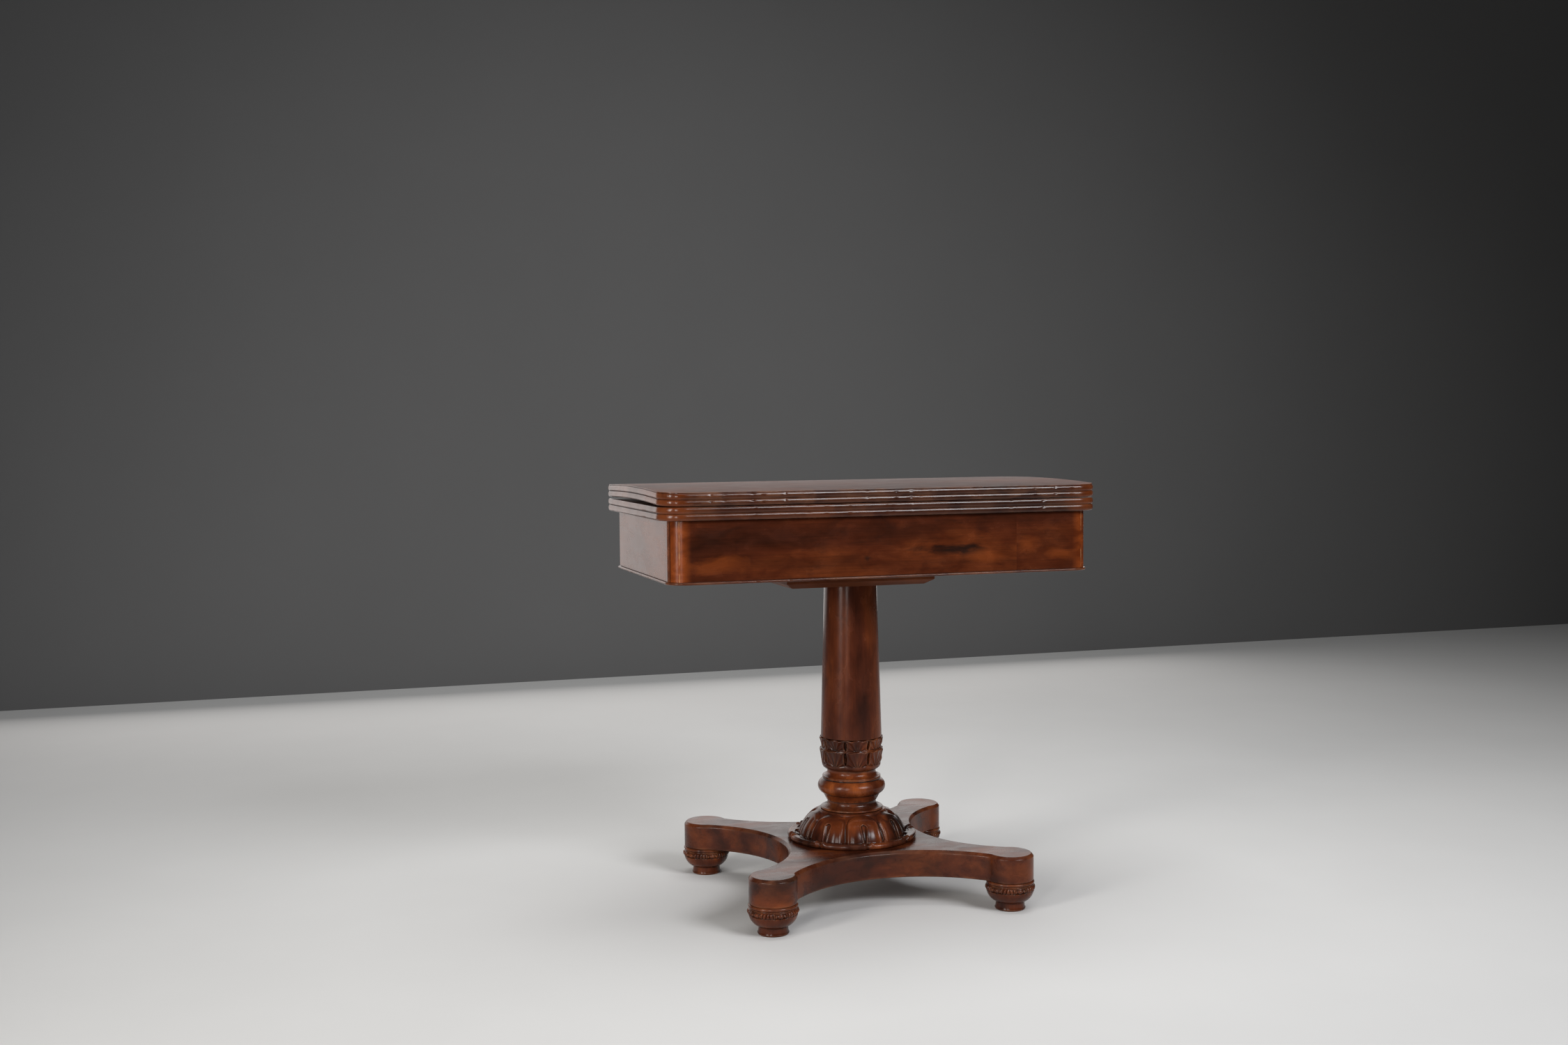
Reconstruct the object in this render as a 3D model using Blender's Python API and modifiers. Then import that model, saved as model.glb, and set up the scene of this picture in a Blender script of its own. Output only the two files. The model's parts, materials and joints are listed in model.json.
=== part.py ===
"""Fold-over card table on a pedestal, with a top that swivels and then opens to a square.

Metres, +Z up. The origin lies on the floor under the column's centre, X runs along the
front edge and +Y points to the back. The table stands closed: the top lies lengthways over
the frieze with its upper leaf folded down. To open it, the top turns a quarter turn on the
pivot bolt and the upper leaf turns over on its back hinges.
"""
import math

import bmesh
import bpy
from mathutils import Matrix, Vector

# Clearances
FIT = 0.0003            # between pieces that are glued, let in or screwed together
RUN = 0.0005            # between pieces that turn or stop against each other
SLIDE = 0.0009          # between the frieze and the leaf that slides over it
PROUD = 0.002           # how far a cutter stands out of the face that it cuts

# Leaves of the top
LEAF_LENGTH = 0.810
LEAF_DEPTH = LEAF_LENGTH / 2        # two leaves side by side make a square
LEAF_THICKNESS = 0.023
LEAF_CORNER = 0.042                 # radius of the front corners in plan
REED_DEPTH = 0.0030                 # two half-round reeds run along the front and the ends
ARRIS_HEIGHT = 0.0014               # thin square edge above the upper leaf's reeds
ARRIS_SET = 0.0016                  # how far that edge stands back from the reeds
FRONT_GAP = 0.0010                  # between the leaves at the front edge
BACK_GAP = 0.0030                   # between the leaves at the hinges
CUP = 0.0040                        # crown of the upper leaf, which age has cupped
CUP_STRIPS = 10

# Baize in the leaves' inner faces
BAIZE_BORDER = 0.046
BAIZE_HINGE_BORDER = 0.024
BAIZE_THICKNESS = 0.0008
BAIZE_RECESS = 0.0014

# Butt hinges on the back edges
HINGE_END_INSET = 0.120             # from a leaf's end to the middle of an outer hinge
HINGE_LENGTH = 0.060
HINGE_HEIGHT = 0.0175               # from the pin down or up to the flap's edge
FLAP_THICKNESS = 0.0020
KNUCKLE_RADIUS = 0.0034
MIDDLE_KNUCKLE = 0.026              # length of the upper flap's single knuckle
PIN_RADIUS = 0.0015
PIN_SET = 0.0006                    # pin axis behind the leaves' back edges

# Frieze
END_OVERHANG = 0.018
SIDE_OVERHANG = 0.011
RAIL_HEIGHT = 0.1023
RAIL_THICKNESS = 0.022
FRIEZE_CORNER = 0.030
BLOCK_MARGIN = 0.008                # corner block beyond the rounded corner
BEAD_HEIGHT = 0.0045
BEAD_PROJECTION = 0.0038
BEAD_WIDTH = 0.012                  # part of the bead strip that lies under the rail
CROSS_RAIL_X = 0.098
CROSS_RAIL_WIDTH = 0.070
CROSS_RAIL_THICKNESS = 0.021
WELL_FLOOR_THICKNESS = 0.008
DIVIDER_X = 0.010
DIVIDER_THICKNESS = 0.012

# Pivot of the top
PIVOT_RAIL_THICKNESS = 0.028
PIVOT_PLATE_SIDE = 0.070
PIVOT_PLATE_THICKNESS = 0.003
PIVOT_BOLT_RADIUS = 0.006
PIVOT_HEAD_RADIUS = 0.012
PIVOT_HEAD_HEIGHT = 0.005
WASHER_RADIUS = 0.015
WASHER_THICKNESS = 0.002
NUT_SIDE = 0.020
NUT_HEIGHT = 0.008
BOLT_END = 0.004                    # bolt below the nut
STOP_PEG_RADIUS = 0.008
STOP_PEG_LENGTH = 0.026             # below the leaf
STOP_PEG_HOLE = 0.012               # inside the leaf
STOP_PEG_OFFSET = 0.066             # in front of the pivot when the top is closed

# Wood screws, countersunk and driven from below
PLATE_SCREW_INSET = 0.011
PLATE_SCREW_HEAD = 0.0038
PLATE_SCREW_SHANK = 0.0018
PLATE_SCREW_LENGTH = 0.014
BEARER_SCREW_Y = 0.045
BEARER_SCREW_HEAD = 0.0056
BEARER_SCREW_SHANK = 0.0028
BEARER_SCREW_BITE = 0.014           # length of screw inside the cross rail

# Bearer block under the frieze
BEARER_LENGTH = 0.283
BEARER_DEPTH = 0.146
BEARER_THICKNESS = 0.0265
BEARER_SHIFT = -0.005               # from the column's centre along the front
BEARER_CHAMFER = 0.015              # how far the chamfered lower edges reach in
BEARER_CHAMFER_RISE = 0.0095

# Column shaft with its tenon at the top and its long spigot below
SHAFT_LENGTH = 0.281
SHAFT_TOP_RADIUS = 0.0482
SHAFT_FOOT_RADIUS = 0.0560
TENON_RADIUS = 0.020
WEDGE_LENGTH = 0.020
WEDGE_THICKNESS = 0.004
WEDGE_WIDTH = 0.026

# Carved leaf collar in two tiers
UPPER_TIER = 0.0215
LOWER_TIER = 0.0380
COLLAR_TIP_RADIUS = 0.0592
COLLAR_PINCH_RADIUS = 0.0550
COLLAR_LOW_RADIUS = 0.0540
COLLAR_CUP = 0.0085                 # height of the rounded underside
COLLAR_FOOT_RADIUS = 0.0446

# Turned knop, from the top down
KNOP_FILLET = 0.0045
KNOP_CAVETTO = 0.0085
KNOP_RING = 0.0040
KNOP_TORUS = 0.0300
KNOP_TAPER = 0.0105
KNOP_LOW_FILLET = 0.0030
KNOP_SCOTIA = 0.0100
KNOP_PLINTH = 0.0035
KNOP_NECK_RADIUS = 0.0446
KNOP_RING_RADIUS = 0.0537
KNOP_TORUS_RADIUS = 0.0621
KNOP_TORUS_ARC = 62                 # degrees above and below the torus's widest line
KNOP_TAPER_RADIUS = 0.0462
KNOP_BASE_RADIUS = 0.0575

# Gadrooned dome cap
DOME_HEIGHT = 0.0535
DOME_TOP_RADIUS = 0.0595
DOME_WALL_RADIUS = 0.0975           # where the wall meets the cove
DOME_CROWN = 0.0065                 # how far the wall swells beyond a straight cone
RIM_RADIUS = 0.1186
RIM_HEIGHT = 0.0105
COVE_WIDTH = 0.0070
COVE_DEPTH = 0.0035
LOBES = 16
LOBE_DEPTH = 0.0028

# Platform with four round lobes and hollowed sides
PLATFORM_THICKNESS = 0.048
PLATFORM_CHAMFER = 0.0042
CHAMFER_DROP = 0.0050
FOOT_X = 0.221
FOOT_Y = 0.210
LOBE_RADIUS = 0.0415
LOBE_STEP = 0.0105                  # how far a lobe stands out of its arm
WAIST = 0.134                       # from the centre to the hollow of each side

# Turned bun feet, from the floor up
FOOT_HEIGHT = 0.053
TOE_RADIUS = 0.0271
TOE_HEIGHT = 0.0065
ANKLE_RADIUS = 0.0254
ANKLE_HEIGHT = 0.0077
BUN_RADIUS = 0.0446                 # at the carved band
BOWL_RADIUS = 0.0424                # under the band
BOWL_CROWN = 0.0035                 # how far the bowl swells beyond a straight cone
FOOT_BAND = 0.0095
FOOT_RING = 0.0080
FOOT_RING_RADIUS = 0.0428
DOWEL_RADIUS = 0.011
DOWEL_LENGTH = 0.026

# Facets
TURNED_STEPS = 32
FOOT_STEPS = 24
SMALL_STEPS = 12
ARC_STEPS = 8
MOULDING_STEPS = 4
STEPS_PER_LOBE = 3

# Levels, from the floor up
PLATFORM_Z = FOOT_HEIGHT
DOME_Z = PLATFORM_Z + PLATFORM_THICKNESS
KNOP_Z = DOME_Z + DOME_HEIGHT
KNOP_HEIGHT = (KNOP_FILLET + KNOP_CAVETTO + KNOP_RING + KNOP_TORUS + KNOP_TAPER + KNOP_LOW_FILLET
               + KNOP_SCOTIA + KNOP_PLINTH)
COLLAR_Z = KNOP_Z + KNOP_HEIGHT
COLLAR_HEIGHT = UPPER_TIER + LOWER_TIER
SHAFT_Z = COLLAR_Z + COLLAR_HEIGHT
BEARER_Z = SHAFT_Z + SHAFT_LENGTH
BEAD_Z = BEARER_Z + BEARER_THICKNESS
RAIL_Z = BEAD_Z + BEAD_HEIGHT
FRIEZE_TOP = RAIL_Z + RAIL_HEIGHT
LOWER_Z = FRIEZE_TOP + SLIDE
LOWER_TOP = LOWER_Z + LEAF_THICKNESS
UPPER_Z = LOWER_TOP + BACK_GAP
CROSS_RAIL_TOP = BEAD_Z + CROSS_RAIL_THICKNESS

# Plan of the frieze
FRIEZE_X = LEAF_LENGTH / 2 - END_OVERHANG
FRIEZE_Y = LEAF_DEPTH / 2 - SIDE_OVERHANG
INNER_X = FRIEZE_X - RAIL_THICKNESS
INNER_Y = FRIEZE_Y - RAIL_THICKNESS
BLOCK_SIDE = max(FRIEZE_CORNER, RAIL_THICKNESS) + BLOCK_MARGIN

# The pivot stands a quarter of the leaf's depth from both centre lines, so that a quarter
# turn brings the hinge line over the column.
PIVOT = LEAF_DEPTH / 4
STOP_PEG_REACH = INNER_Y - PIVOT - STOP_PEG_RADIUS - RUN
PIVOT_RAIL_HALF = STOP_PEG_REACH - STOP_PEG_RADIUS - RUN

# Hinge axis, in the middle of the gap between the leaves
HINGE_Y = LEAF_DEPTH / 2 + PIN_SET
HINGE_Z = LOWER_TOP + BACK_GAP / 2
HINGE_LAND = FLAP_THICKNESS + KNUCKLE_RADIUS + RUN

# Finishes: colour, roughness, metallic
MAHOGANY = ((0.135, 0.042, 0.018), 0.28, 0.0)
ORANGE_MAHOGANY = ((0.230, 0.078, 0.026), 0.25, 0.0)
CARVED_MAHOGANY = ((0.105, 0.034, 0.017), 0.34, 0.0)
CARCASS = ((0.330, 0.190, 0.090), 0.65, 0.0)
BRASS = ((0.560, 0.390, 0.150), 0.35, 1.0)
IRON = ((0.120, 0.110, 0.105), 0.50, 1.0)
BAIZE = ((0.045, 0.130, 0.070), 0.95, 0.0)


def new_collection(name):
    col = bpy.data.collections.new(name)
    bpy.context.scene.collection.children.link(col)
    return col


def set_finish(obj, finish):
    """Give an object its own material in one of the finishes."""
    colour, roughness, metallic = finish
    material = bpy.data.materials.new(obj.name + "_finish")
    material.use_nodes = True
    shader = material.node_tree.nodes["Principled BSDF"]
    shader.inputs["Base Color"].default_value = (*colour, 1.0)
    shader.inputs["Roughness"].default_value = roughness
    shader.inputs["Metallic"].default_value = metallic
    obj.data.materials.clear()
    obj.data.materials.append(material)


def add_part(name, mesh, at=(0, 0, 0), finish=MAHOGANY):
    """Put a mesh into the table as a named piece."""
    obj = bpy.data.objects.new(name, mesh)
    obj.location = at
    PARTS.objects.link(obj)
    set_finish(obj, finish)
    return obj


def add_cutter(name, mesh, at=(0, 0, 0)):
    """Put a mesh among the cutters, which only shape other pieces."""
    obj = bpy.data.objects.new(name, mesh)
    obj.location = at
    obj.hide_render = True
    obj.display_type = "WIRE"
    CUTTERS.objects.link(obj)
    return obj


def cut(obj, *cutters):
    """Take the cutters' volume out of a piece."""
    for cutter in cutters:
        boolean = obj.modifiers.new("Cut " + cutter.name, "BOOLEAN")
        boolean.operation = "DIFFERENCE"
        boolean.solver = "EXACT"
        boolean.object = cutter


def mesh_from(bm, name):
    bmesh.ops.recalc_face_normals(bm, faces=bm.faces)
    mesh = bpy.data.meshes.new(name)
    bm.to_mesh(mesh)
    bm.free()
    return mesh


def shade_round(mesh):
    mesh.shade_smooth()
    mesh.set_sharp_from_angle(angle=math.radians(35))


def box_mesh(name, size_x, size_y, size_z):
    """A box that stands on z = 0, centred in plan."""
    bm = bmesh.new()
    bmesh.ops.create_cube(bm, size=1.0)
    bmesh.ops.scale(bm, vec=(size_x, size_y, size_z), verts=bm.verts)
    bmesh.ops.translate(bm, vec=(0, 0, size_z / 2), verts=bm.verts)
    return mesh_from(bm, name)


def box_between(name, low, high):
    """Box mesh and place of a box given by two opposite corners."""
    size = [b - a for a, b in zip(low, high)]
    at = ((low[0] + high[0]) / 2, (low[1] + high[1]) / 2, low[2])
    return box_mesh(name, *size), at


def add_box(name, low, high, finish):
    mesh, at = box_between(name, low, high)
    return add_part(name, mesh, at, finish)


def add_box_cutter(name, low, high):
    mesh, at = box_between(name, low, high)
    return add_cutter(name, mesh, at)


def cylinder_mesh(name, radius, height, steps=SMALL_STEPS):
    """A cylinder that stands on z = 0."""
    bm = bmesh.new()
    bmesh.ops.create_cone(bm, cap_ends=True, segments=steps, radius1=radius, radius2=radius, depth=height)
    bmesh.ops.translate(bm, vec=(0, 0, height / 2), verts=bm.verts)
    return mesh_from(bm, name)


def arc(centre, radii, start, end, steps=ARC_STEPS):
    """Points of an elliptical arc, from one angle to another in degrees."""
    points = []
    for i in range(steps + 1):
        angle = math.radians(start + (end - start) * i / steps)
        points.append((centre[0] + radii[0] * math.cos(angle), centre[1] + radii[1] * math.sin(angle)))
    return points


def bowed(start, end, crown, steps):
    """Points of a line down a profile that swells outward by a crown at its middle."""
    start = Vector(start)
    fall = Vector(end) - start
    outward = Vector((-fall.y, fall.x)).normalized()
    points = []
    for i in range(steps + 1):
        t = i / steps
        points.append(tuple(start + fall * t + outward * 4 * crown * t * (1 - t)))
    return points


def turned(name, profile, at, finish=None, steps=TURNED_STEPS, ring=False):
    """A turned piece, or a turned cutter when it has no finish.

    The profile's points are (radius, height), from the top down. A ring's profile goes on
    up its bore and closes.
    """
    mesh = bpy.data.meshes.new(name)
    edges = [(i, i + 1) for i in range(len(profile) - 1)]
    if ring:
        edges.append((len(profile) - 1, 0))
    mesh.from_pydata([(r, 0, z) for r, z in profile], edges, [])
    obj = add_part(name, mesh, at, finish) if finish else add_cutter(name, mesh, at)
    screw = obj.modifiers.new("Turn", "SCREW")
    screw.axis = "Z"
    screw.steps = steps
    screw.render_steps = steps
    screw.use_merge_vertices = True
    screw.merge_threshold = 0.00001
    screw.use_smooth_shade = True
    return obj


def loft(name, rings, closed=False):
    """A skin through rings of equal point counts, capped at both ends or closed on itself."""
    bm = bmesh.new()
    loops = [[bm.verts.new(point) for point in ring] for ring in rings]
    pairs = list(zip(loops, loops[1:]))
    if closed:
        pairs.append((loops[-1], loops[0]))
    else:
        bm.faces.new(loops[0])
        bm.faces.new(loops[-1])
    for first, second in pairs:
        for i in range(len(first)):
            j = (i + 1) % len(first)
            bm.faces.new((first[i], first[j], second[j], second[i]))
    return mesh_from(bm, name)


def prism(name, outline, length):
    """A flat outline thickened to both sides of its plane, made as a filled curve."""
    curve = bpy.data.curves.new(name, "CURVE")
    curve.dimensions = "2D"
    curve.fill_mode = "BOTH"
    curve.extrude = length / 2
    curve.render_resolution_u = 0
    spline = curve.splines.new("POLY")
    spline.points.add(len(outline) - 1)
    for point, (x, y) in zip(spline.points, outline):
        point.co = (x, y, 0, 1)
    spline.use_cyclic_u = True
    obj = bpy.data.objects.new(name, curve)
    CUTTERS.objects.link(obj)
    mesh = evaluated_mesh(obj)
    bpy.data.objects.remove(obj)
    bm = bmesh.new()
    bm.from_mesh(mesh)
    bmesh.ops.remove_doubles(bm, verts=bm.verts, dist=0.000001)
    bpy.data.meshes.remove(mesh)
    return mesh_from(bm, name)


def evaluated_mesh(obj):
    bpy.context.view_layer.update()
    graph = bpy.context.evaluated_depsgraph_get()
    return bpy.data.meshes.new_from_object(obj.evaluated_get(graph))


def hang_on(empty, *objects):
    """Parent pieces to an axis without moving them."""
    bpy.context.view_layer.update()
    for obj in objects:
        obj.parent = empty
        obj.matrix_parent_inverse = empty.matrix_world.inverted()


def add_axis(name, at, parent=None):
    """An empty on a joint's axis."""
    empty = bpy.data.objects.new(name, None)
    empty.location = at
    empty.empty_display_size = 0.05
    PARTS.objects.link(empty)
    if parent:
        hang_on(parent, empty)
    return empty


# Base


def platform_corner(inset):
    """Front right quarter of the platform's outline, from the front hollow to the right one."""
    diagonal = math.hypot(FOOT_X, FOOT_Y)
    arm_half = LOBE_RADIUS - LOBE_STEP
    lobe = Vector((FOOT_X, -FOOT_Y))
    lobe_radius = LOBE_RADIUS - inset
    sides = []
    for share, outward in ((FOOT_X / diagonal, Vector((0, -1))), (FOOT_Y / diagonal, Vector((1, 0)))):
        hollow = (WAIST * share - arm_half) / (1 - share)
        centre = outward * (WAIST + hollow)
        radius = hollow + inset
        to_lobe = lobe - centre
        along = (radius ** 2 - lobe_radius ** 2 + to_lobe.length_squared) / (2 * to_lobe.length)
        swing = math.acos(along / radius)
        bearing = math.atan2(to_lobe.y, to_lobe.x)
        middle = math.atan2(-outward.y, -outward.x)
        turn = math.remainder(bearing - middle, 2 * math.pi)
        meet = middle + turn - math.copysign(swing, turn)
        points = arc(centre, (radius, radius), math.degrees(middle), math.degrees(meet))
        sides.append(points)
    front, right = sides
    start = math.atan2(front[-1][1] - lobe.y, front[-1][0] - lobe.x)
    end = math.atan2(right[-1][1] - lobe.y, right[-1][0] - lobe.x)
    stop = start + (end - start) % (2 * math.pi)
    round_end = arc(lobe, (lobe_radius, lobe_radius), math.degrees(start), math.degrees(stop), 2 * ARC_STEPS)
    return front[:-1] + round_end + right[-2::-1]


def platform_outline(inset):
    """The whole outline, counter-clockwise from above."""
    quarter = platform_corner(inset)[:-1]
    back = [(x, -y) for x, y in reversed(platform_corner(inset)[1:])]
    right = quarter + back
    left = [(-x, -y) for x, y in right]
    return right + left


def build_platform():
    top = PLATFORM_THICKNESS - FIT
    levels = ((0, 0), (0, top - CHAMFER_DROP), (PLATFORM_CHAMFER, top))
    rings = [[(x, y, z) for x, y in platform_outline(inset)] for inset, z in levels]
    platform = add_part("base_platform", loft("base_platform", rings), (0, 0, PLATFORM_Z))
    bore = cylinder_mesh("spigot_bore", TENON_RADIUS + FIT, PLATFORM_THICKNESS + 2 * PROUD, TURNED_STEPS)
    cut(platform, add_cutter("spigot_bore", bore, (0, 0, PLATFORM_Z - PROUD)))
    for side, x, y in foot_places():
        hole = cylinder_mesh("dowel_hole_" + side, DOWEL_RADIUS + FIT, DOWEL_LENGTH + PROUD + FIT, FOOT_STEPS)
        cut(platform, add_cutter("dowel_hole_" + side, hole, (x, y, PLATFORM_Z - PROUD)))


def foot_places():
    return [(back + "_" + side, sx * FOOT_X, sy * FOOT_Y)
            for back, sy in (("front", -1), ("back", 1))
            for side, sx in (("left", -1), ("right", 1))]


def foot_profile():
    seat = FOOT_HEIGHT - FIT
    ring_low = seat - FOOT_RING
    band_low = ring_low - FOOT_BAND
    ankle_top = TOE_HEIGHT + ANKLE_HEIGHT
    half_ring = FOOT_RING / 2
    half_toe = TOE_HEIGHT / 2
    ring_centre = (FOOT_RING_RADIUS - half_ring, seat - half_ring)
    profile = [(0, seat + DOWEL_LENGTH), (DOWEL_RADIUS, seat + DOWEL_LENGTH), (DOWEL_RADIUS, seat)]
    profile += arc(ring_centre, (half_ring, half_ring), 90, -60, MOULDING_STEPS)
    profile += [(BUN_RADIUS, band_low + FOOT_BAND / 2)]
    profile += bowed((BOWL_RADIUS, band_low), (ANKLE_RADIUS, ankle_top), BOWL_CROWN, ARC_STEPS - 2)
    profile += [(ANKLE_RADIUS, TOE_HEIGHT)]
    profile += arc((TOE_RADIUS - half_toe, half_toe), (half_toe, half_toe), 45, -90, MOULDING_STEPS)
    profile += [(0, 0)]
    return profile


def build_feet():
    for side, x, y in foot_places():
        turned("foot_" + side, foot_profile(), (x, y, 0), CARVED_MAHOGANY, FOOT_STEPS)


# Column


def dome_profile():
    """Outer side of the dome from its flat top down to the platform."""
    top = (DOME_TOP_RADIUS, DOME_HEIGHT - FIT)
    wall = bowed(top, (DOME_WALL_RADIUS, RIM_HEIGHT), DOME_CROWN, ARC_STEPS - 2)
    cove = [(DOME_WALL_RADIUS + COVE_WIDTH, RIM_HEIGHT - COVE_DEPTH)]
    half = RIM_HEIGHT / 2
    rim = arc((RIM_RADIUS - half, half), (half, half), 90, -90, MOULDING_STEPS)
    return wall + cove + rim


def build_dome():
    """The dome, with lobes that are deepest halfway up and run out at its top and rim."""
    top = DOME_HEIGHT - FIT
    bore = TENON_RADIUS + FIT
    steps = STEPS_PER_LOBE * LOBES
    rings = []
    for radius, height in dome_profile() + [(bore, 0), (bore, top)]:
        depth = LOBE_DEPTH * math.sin(math.pi * height / top) if radius > bore else 0
        ring = []
        for i in range(steps):
            angle = 2 * math.pi * i / steps
            lobed = radius - depth * (1 - abs(math.sin(LOBES / 2 * angle)))
            ring.append((lobed * math.cos(angle), lobed * math.sin(angle), height))
        rings.append(ring)
    mesh = loft("dome_cap", rings, closed=True)
    shade_round(mesh)
    add_part("dome_cap", mesh, (0, 0, DOME_Z), CARVED_MAHOGANY)


def knop_profile():
    """Knop from the top down, then up its bore."""
    bore = TENON_RADIUS + FIT
    top = KNOP_HEIGHT - FIT
    cavetto_top = KNOP_HEIGHT - KNOP_FILLET
    ring_top = cavetto_top - KNOP_CAVETTO
    torus_top = ring_top - KNOP_RING
    torus_low = torus_top - KNOP_TORUS
    taper_low = torus_low - KNOP_TAPER
    scotia_top = taper_low - KNOP_LOW_FILLET
    half = KNOP_TORUS / 2
    bulge = (KNOP_TORUS_RADIUS - KNOP_NECK_RADIUS, half)
    flare = (KNOP_RING_RADIUS - KNOP_NECK_RADIUS, KNOP_CAVETTO)
    foot = (KNOP_BASE_RADIUS - KNOP_NECK_RADIUS, KNOP_SCOTIA)
    profile = [(bore, top), (KNOP_NECK_RADIUS, top)]
    profile += arc((KNOP_RING_RADIUS, cavetto_top), flare, 180, 270, MOULDING_STEPS)
    profile += [(KNOP_RING_RADIUS, torus_top)]
    profile += arc((KNOP_NECK_RADIUS, torus_top - half), bulge, KNOP_TORUS_ARC, -KNOP_TORUS_ARC)
    profile += [(KNOP_TAPER_RADIUS, taper_low), (KNOP_NECK_RADIUS, taper_low)]
    profile += arc((KNOP_BASE_RADIUS, scotia_top), foot, 180, 270, MOULDING_STEPS)
    profile += [(KNOP_BASE_RADIUS, 0), (bore, 0)]
    return profile


def collar_profile():
    """Collar from the top down, then up its bore: two tiers that each flare to a lip."""
    bore = TENON_RADIUS + FIT
    top = COLLAR_HEIGHT - FIT
    lip = COLLAR_TIP_RADIUS - COLLAR_PINCH_RADIUS
    cup = (COLLAR_LOW_RADIUS - COLLAR_FOOT_RADIUS, COLLAR_CUP)
    profile = [(bore, top), (COLLAR_TIP_RADIUS - lip / 2, top), (COLLAR_TIP_RADIUS, top - lip / 2)]
    profile += [(COLLAR_PINCH_RADIUS, LOWER_TIER + lip / 2), (COLLAR_TIP_RADIUS - lip / 2, LOWER_TIER)]
    profile += [(COLLAR_TIP_RADIUS, LOWER_TIER - lip)]
    profile += arc((COLLAR_FOOT_RADIUS, COLLAR_CUP), cup, 0, -90, MOULDING_STEPS)
    profile += [(bore, 0)]
    return profile


def shaft_profile():
    """Shaft with the tenon above it and the spigot below, about the shaft's foot."""
    tenon_top = SHAFT_LENGTH + BEARER_THICKNESS - FIT
    shoulder = SHAFT_LENGTH - FIT
    spigot_end = PLATFORM_Z - SHAFT_Z
    return [(0, tenon_top), (TENON_RADIUS, tenon_top), (TENON_RADIUS, shoulder), (SHAFT_TOP_RADIUS, shoulder),
            (SHAFT_FOOT_RADIUS, 0), (TENON_RADIUS, 0), (TENON_RADIUS, spigot_end), (0, spigot_end)]


def wedge_mesh(name, grow):
    """A wedge with its thick end on z = 0, pointing up, larger all round by grow."""
    thick = WEDGE_THICKNESS / 2 + grow
    thin = WEDGE_THICKNESS / 4 + grow
    tip = WEDGE_LENGTH + grow
    outline = [(-thick, -grow), (thick, -grow), (thin, tip), (-thin, tip)]
    mesh = prism(name, outline, WEDGE_WIDTH + 2 * grow)
    mesh.transform(Matrix.Rotation(math.radians(90), 4, "X"))
    return mesh


def build_column():
    """Knop and collar threaded on the shaft's spigot; both tenons are spread by wedges."""
    turned("knop", knop_profile(), (0, 0, KNOP_Z), ORANGE_MAHOGANY, ring=True)
    turned("leaf_collar", collar_profile(), (0, 0, COLLAR_Z), CARVED_MAHOGANY, ring=True)
    shaft = turned("column_shaft", shaft_profile(), (0, 0, SHAFT_Z), MAHOGANY)
    for name, z, turn in (("spigot_wedge", PLATFORM_Z, 0), ("tenon_wedge", BEAD_Z - FIT, math.pi)):
        kerf = add_cutter(name + "_kerf", wedge_mesh(name + "_kerf", FIT), (0, 0, z))
        wedge = add_part(name, wedge_mesh(name, 0), (0, 0, z), CARCASS)
        for obj in (kerf, wedge):
            obj.rotation_euler.x = turn
        cut(shaft, kerf)


# Screws


def screw_profile(head, shank, length, grow=0.0):
    """Side of a countersunk screw that points up, from its tip to its head's face on z = 0."""
    tip = 2 * shank
    return [(0, length + grow), (shank / 2 + grow, length + grow), (shank + grow, length - tip),
            (shank + grow, head - shank), (head + grow, 0)]


def add_screw(name, at, sizes, *pieces):
    """A screw, and its hole in each piece that it holds."""
    head = sizes[0]
    hole = screw_profile(*sizes, FIT) + [(head + FIT, -PROUD), (0, -PROUD)]
    cutter = turned(name + "_hole", hole, at, None, SMALL_STEPS)
    for piece in pieces:
        cut(piece, cutter)
    return turned(name, screw_profile(*sizes) + [(0, 0)], at, IRON, SMALL_STEPS)


# Bearer and frieze


def build_bearer():
    """Bearer with long low chamfers on its lower edges, bored for the column's tenon."""
    rings = []
    for inset, z in ((BEARER_CHAMFER, 0), (0, BEARER_CHAMFER_RISE), (0, BEARER_THICKNESS - FIT)):
        x, y = BEARER_LENGTH / 2 - inset, BEARER_DEPTH / 2 - inset
        rings.append([(-x, -y, z), (x, -y, z), (x, y, z), (-x, y, z)])
    bearer = add_part("bearer_block", loft("bearer_block", rings), (BEARER_SHIFT, 0, BEARER_Z))
    bore = cylinder_mesh("tenon_bore", TENON_RADIUS + FIT, BEARER_THICKNESS + 2 * PROUD, TURNED_STEPS)
    cut(bearer, add_cutter("tenon_bore", bore, (0, 0, BEARER_Z - PROUD)))
    return bearer


def build_rails():
    """The frieze's four rails, all as high as the corner blocks."""
    low, high = RAIL_Z + FIT, FRIEZE_TOP
    block_x = FRIEZE_X - BLOCK_SIDE - FIT
    block_y = FRIEZE_Y - BLOCK_SIDE - FIT
    add_box("frieze_front_rail", (-block_x, -FRIEZE_Y, low), (block_x, -INNER_Y, high), MAHOGANY)
    add_box("frieze_left_rail", (-FRIEZE_X, -block_y, low), (-INNER_X, FRIEZE_Y, high), MAHOGANY)
    add_box("frieze_right_rail", (INNER_X, -block_y, low), (FRIEZE_X, FRIEZE_Y, high), MAHOGANY)
    add_box("frieze_back_rail", (FIT - INNER_X, INNER_Y, low), (INNER_X - FIT, FRIEZE_Y, high), CARCASS)


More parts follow.
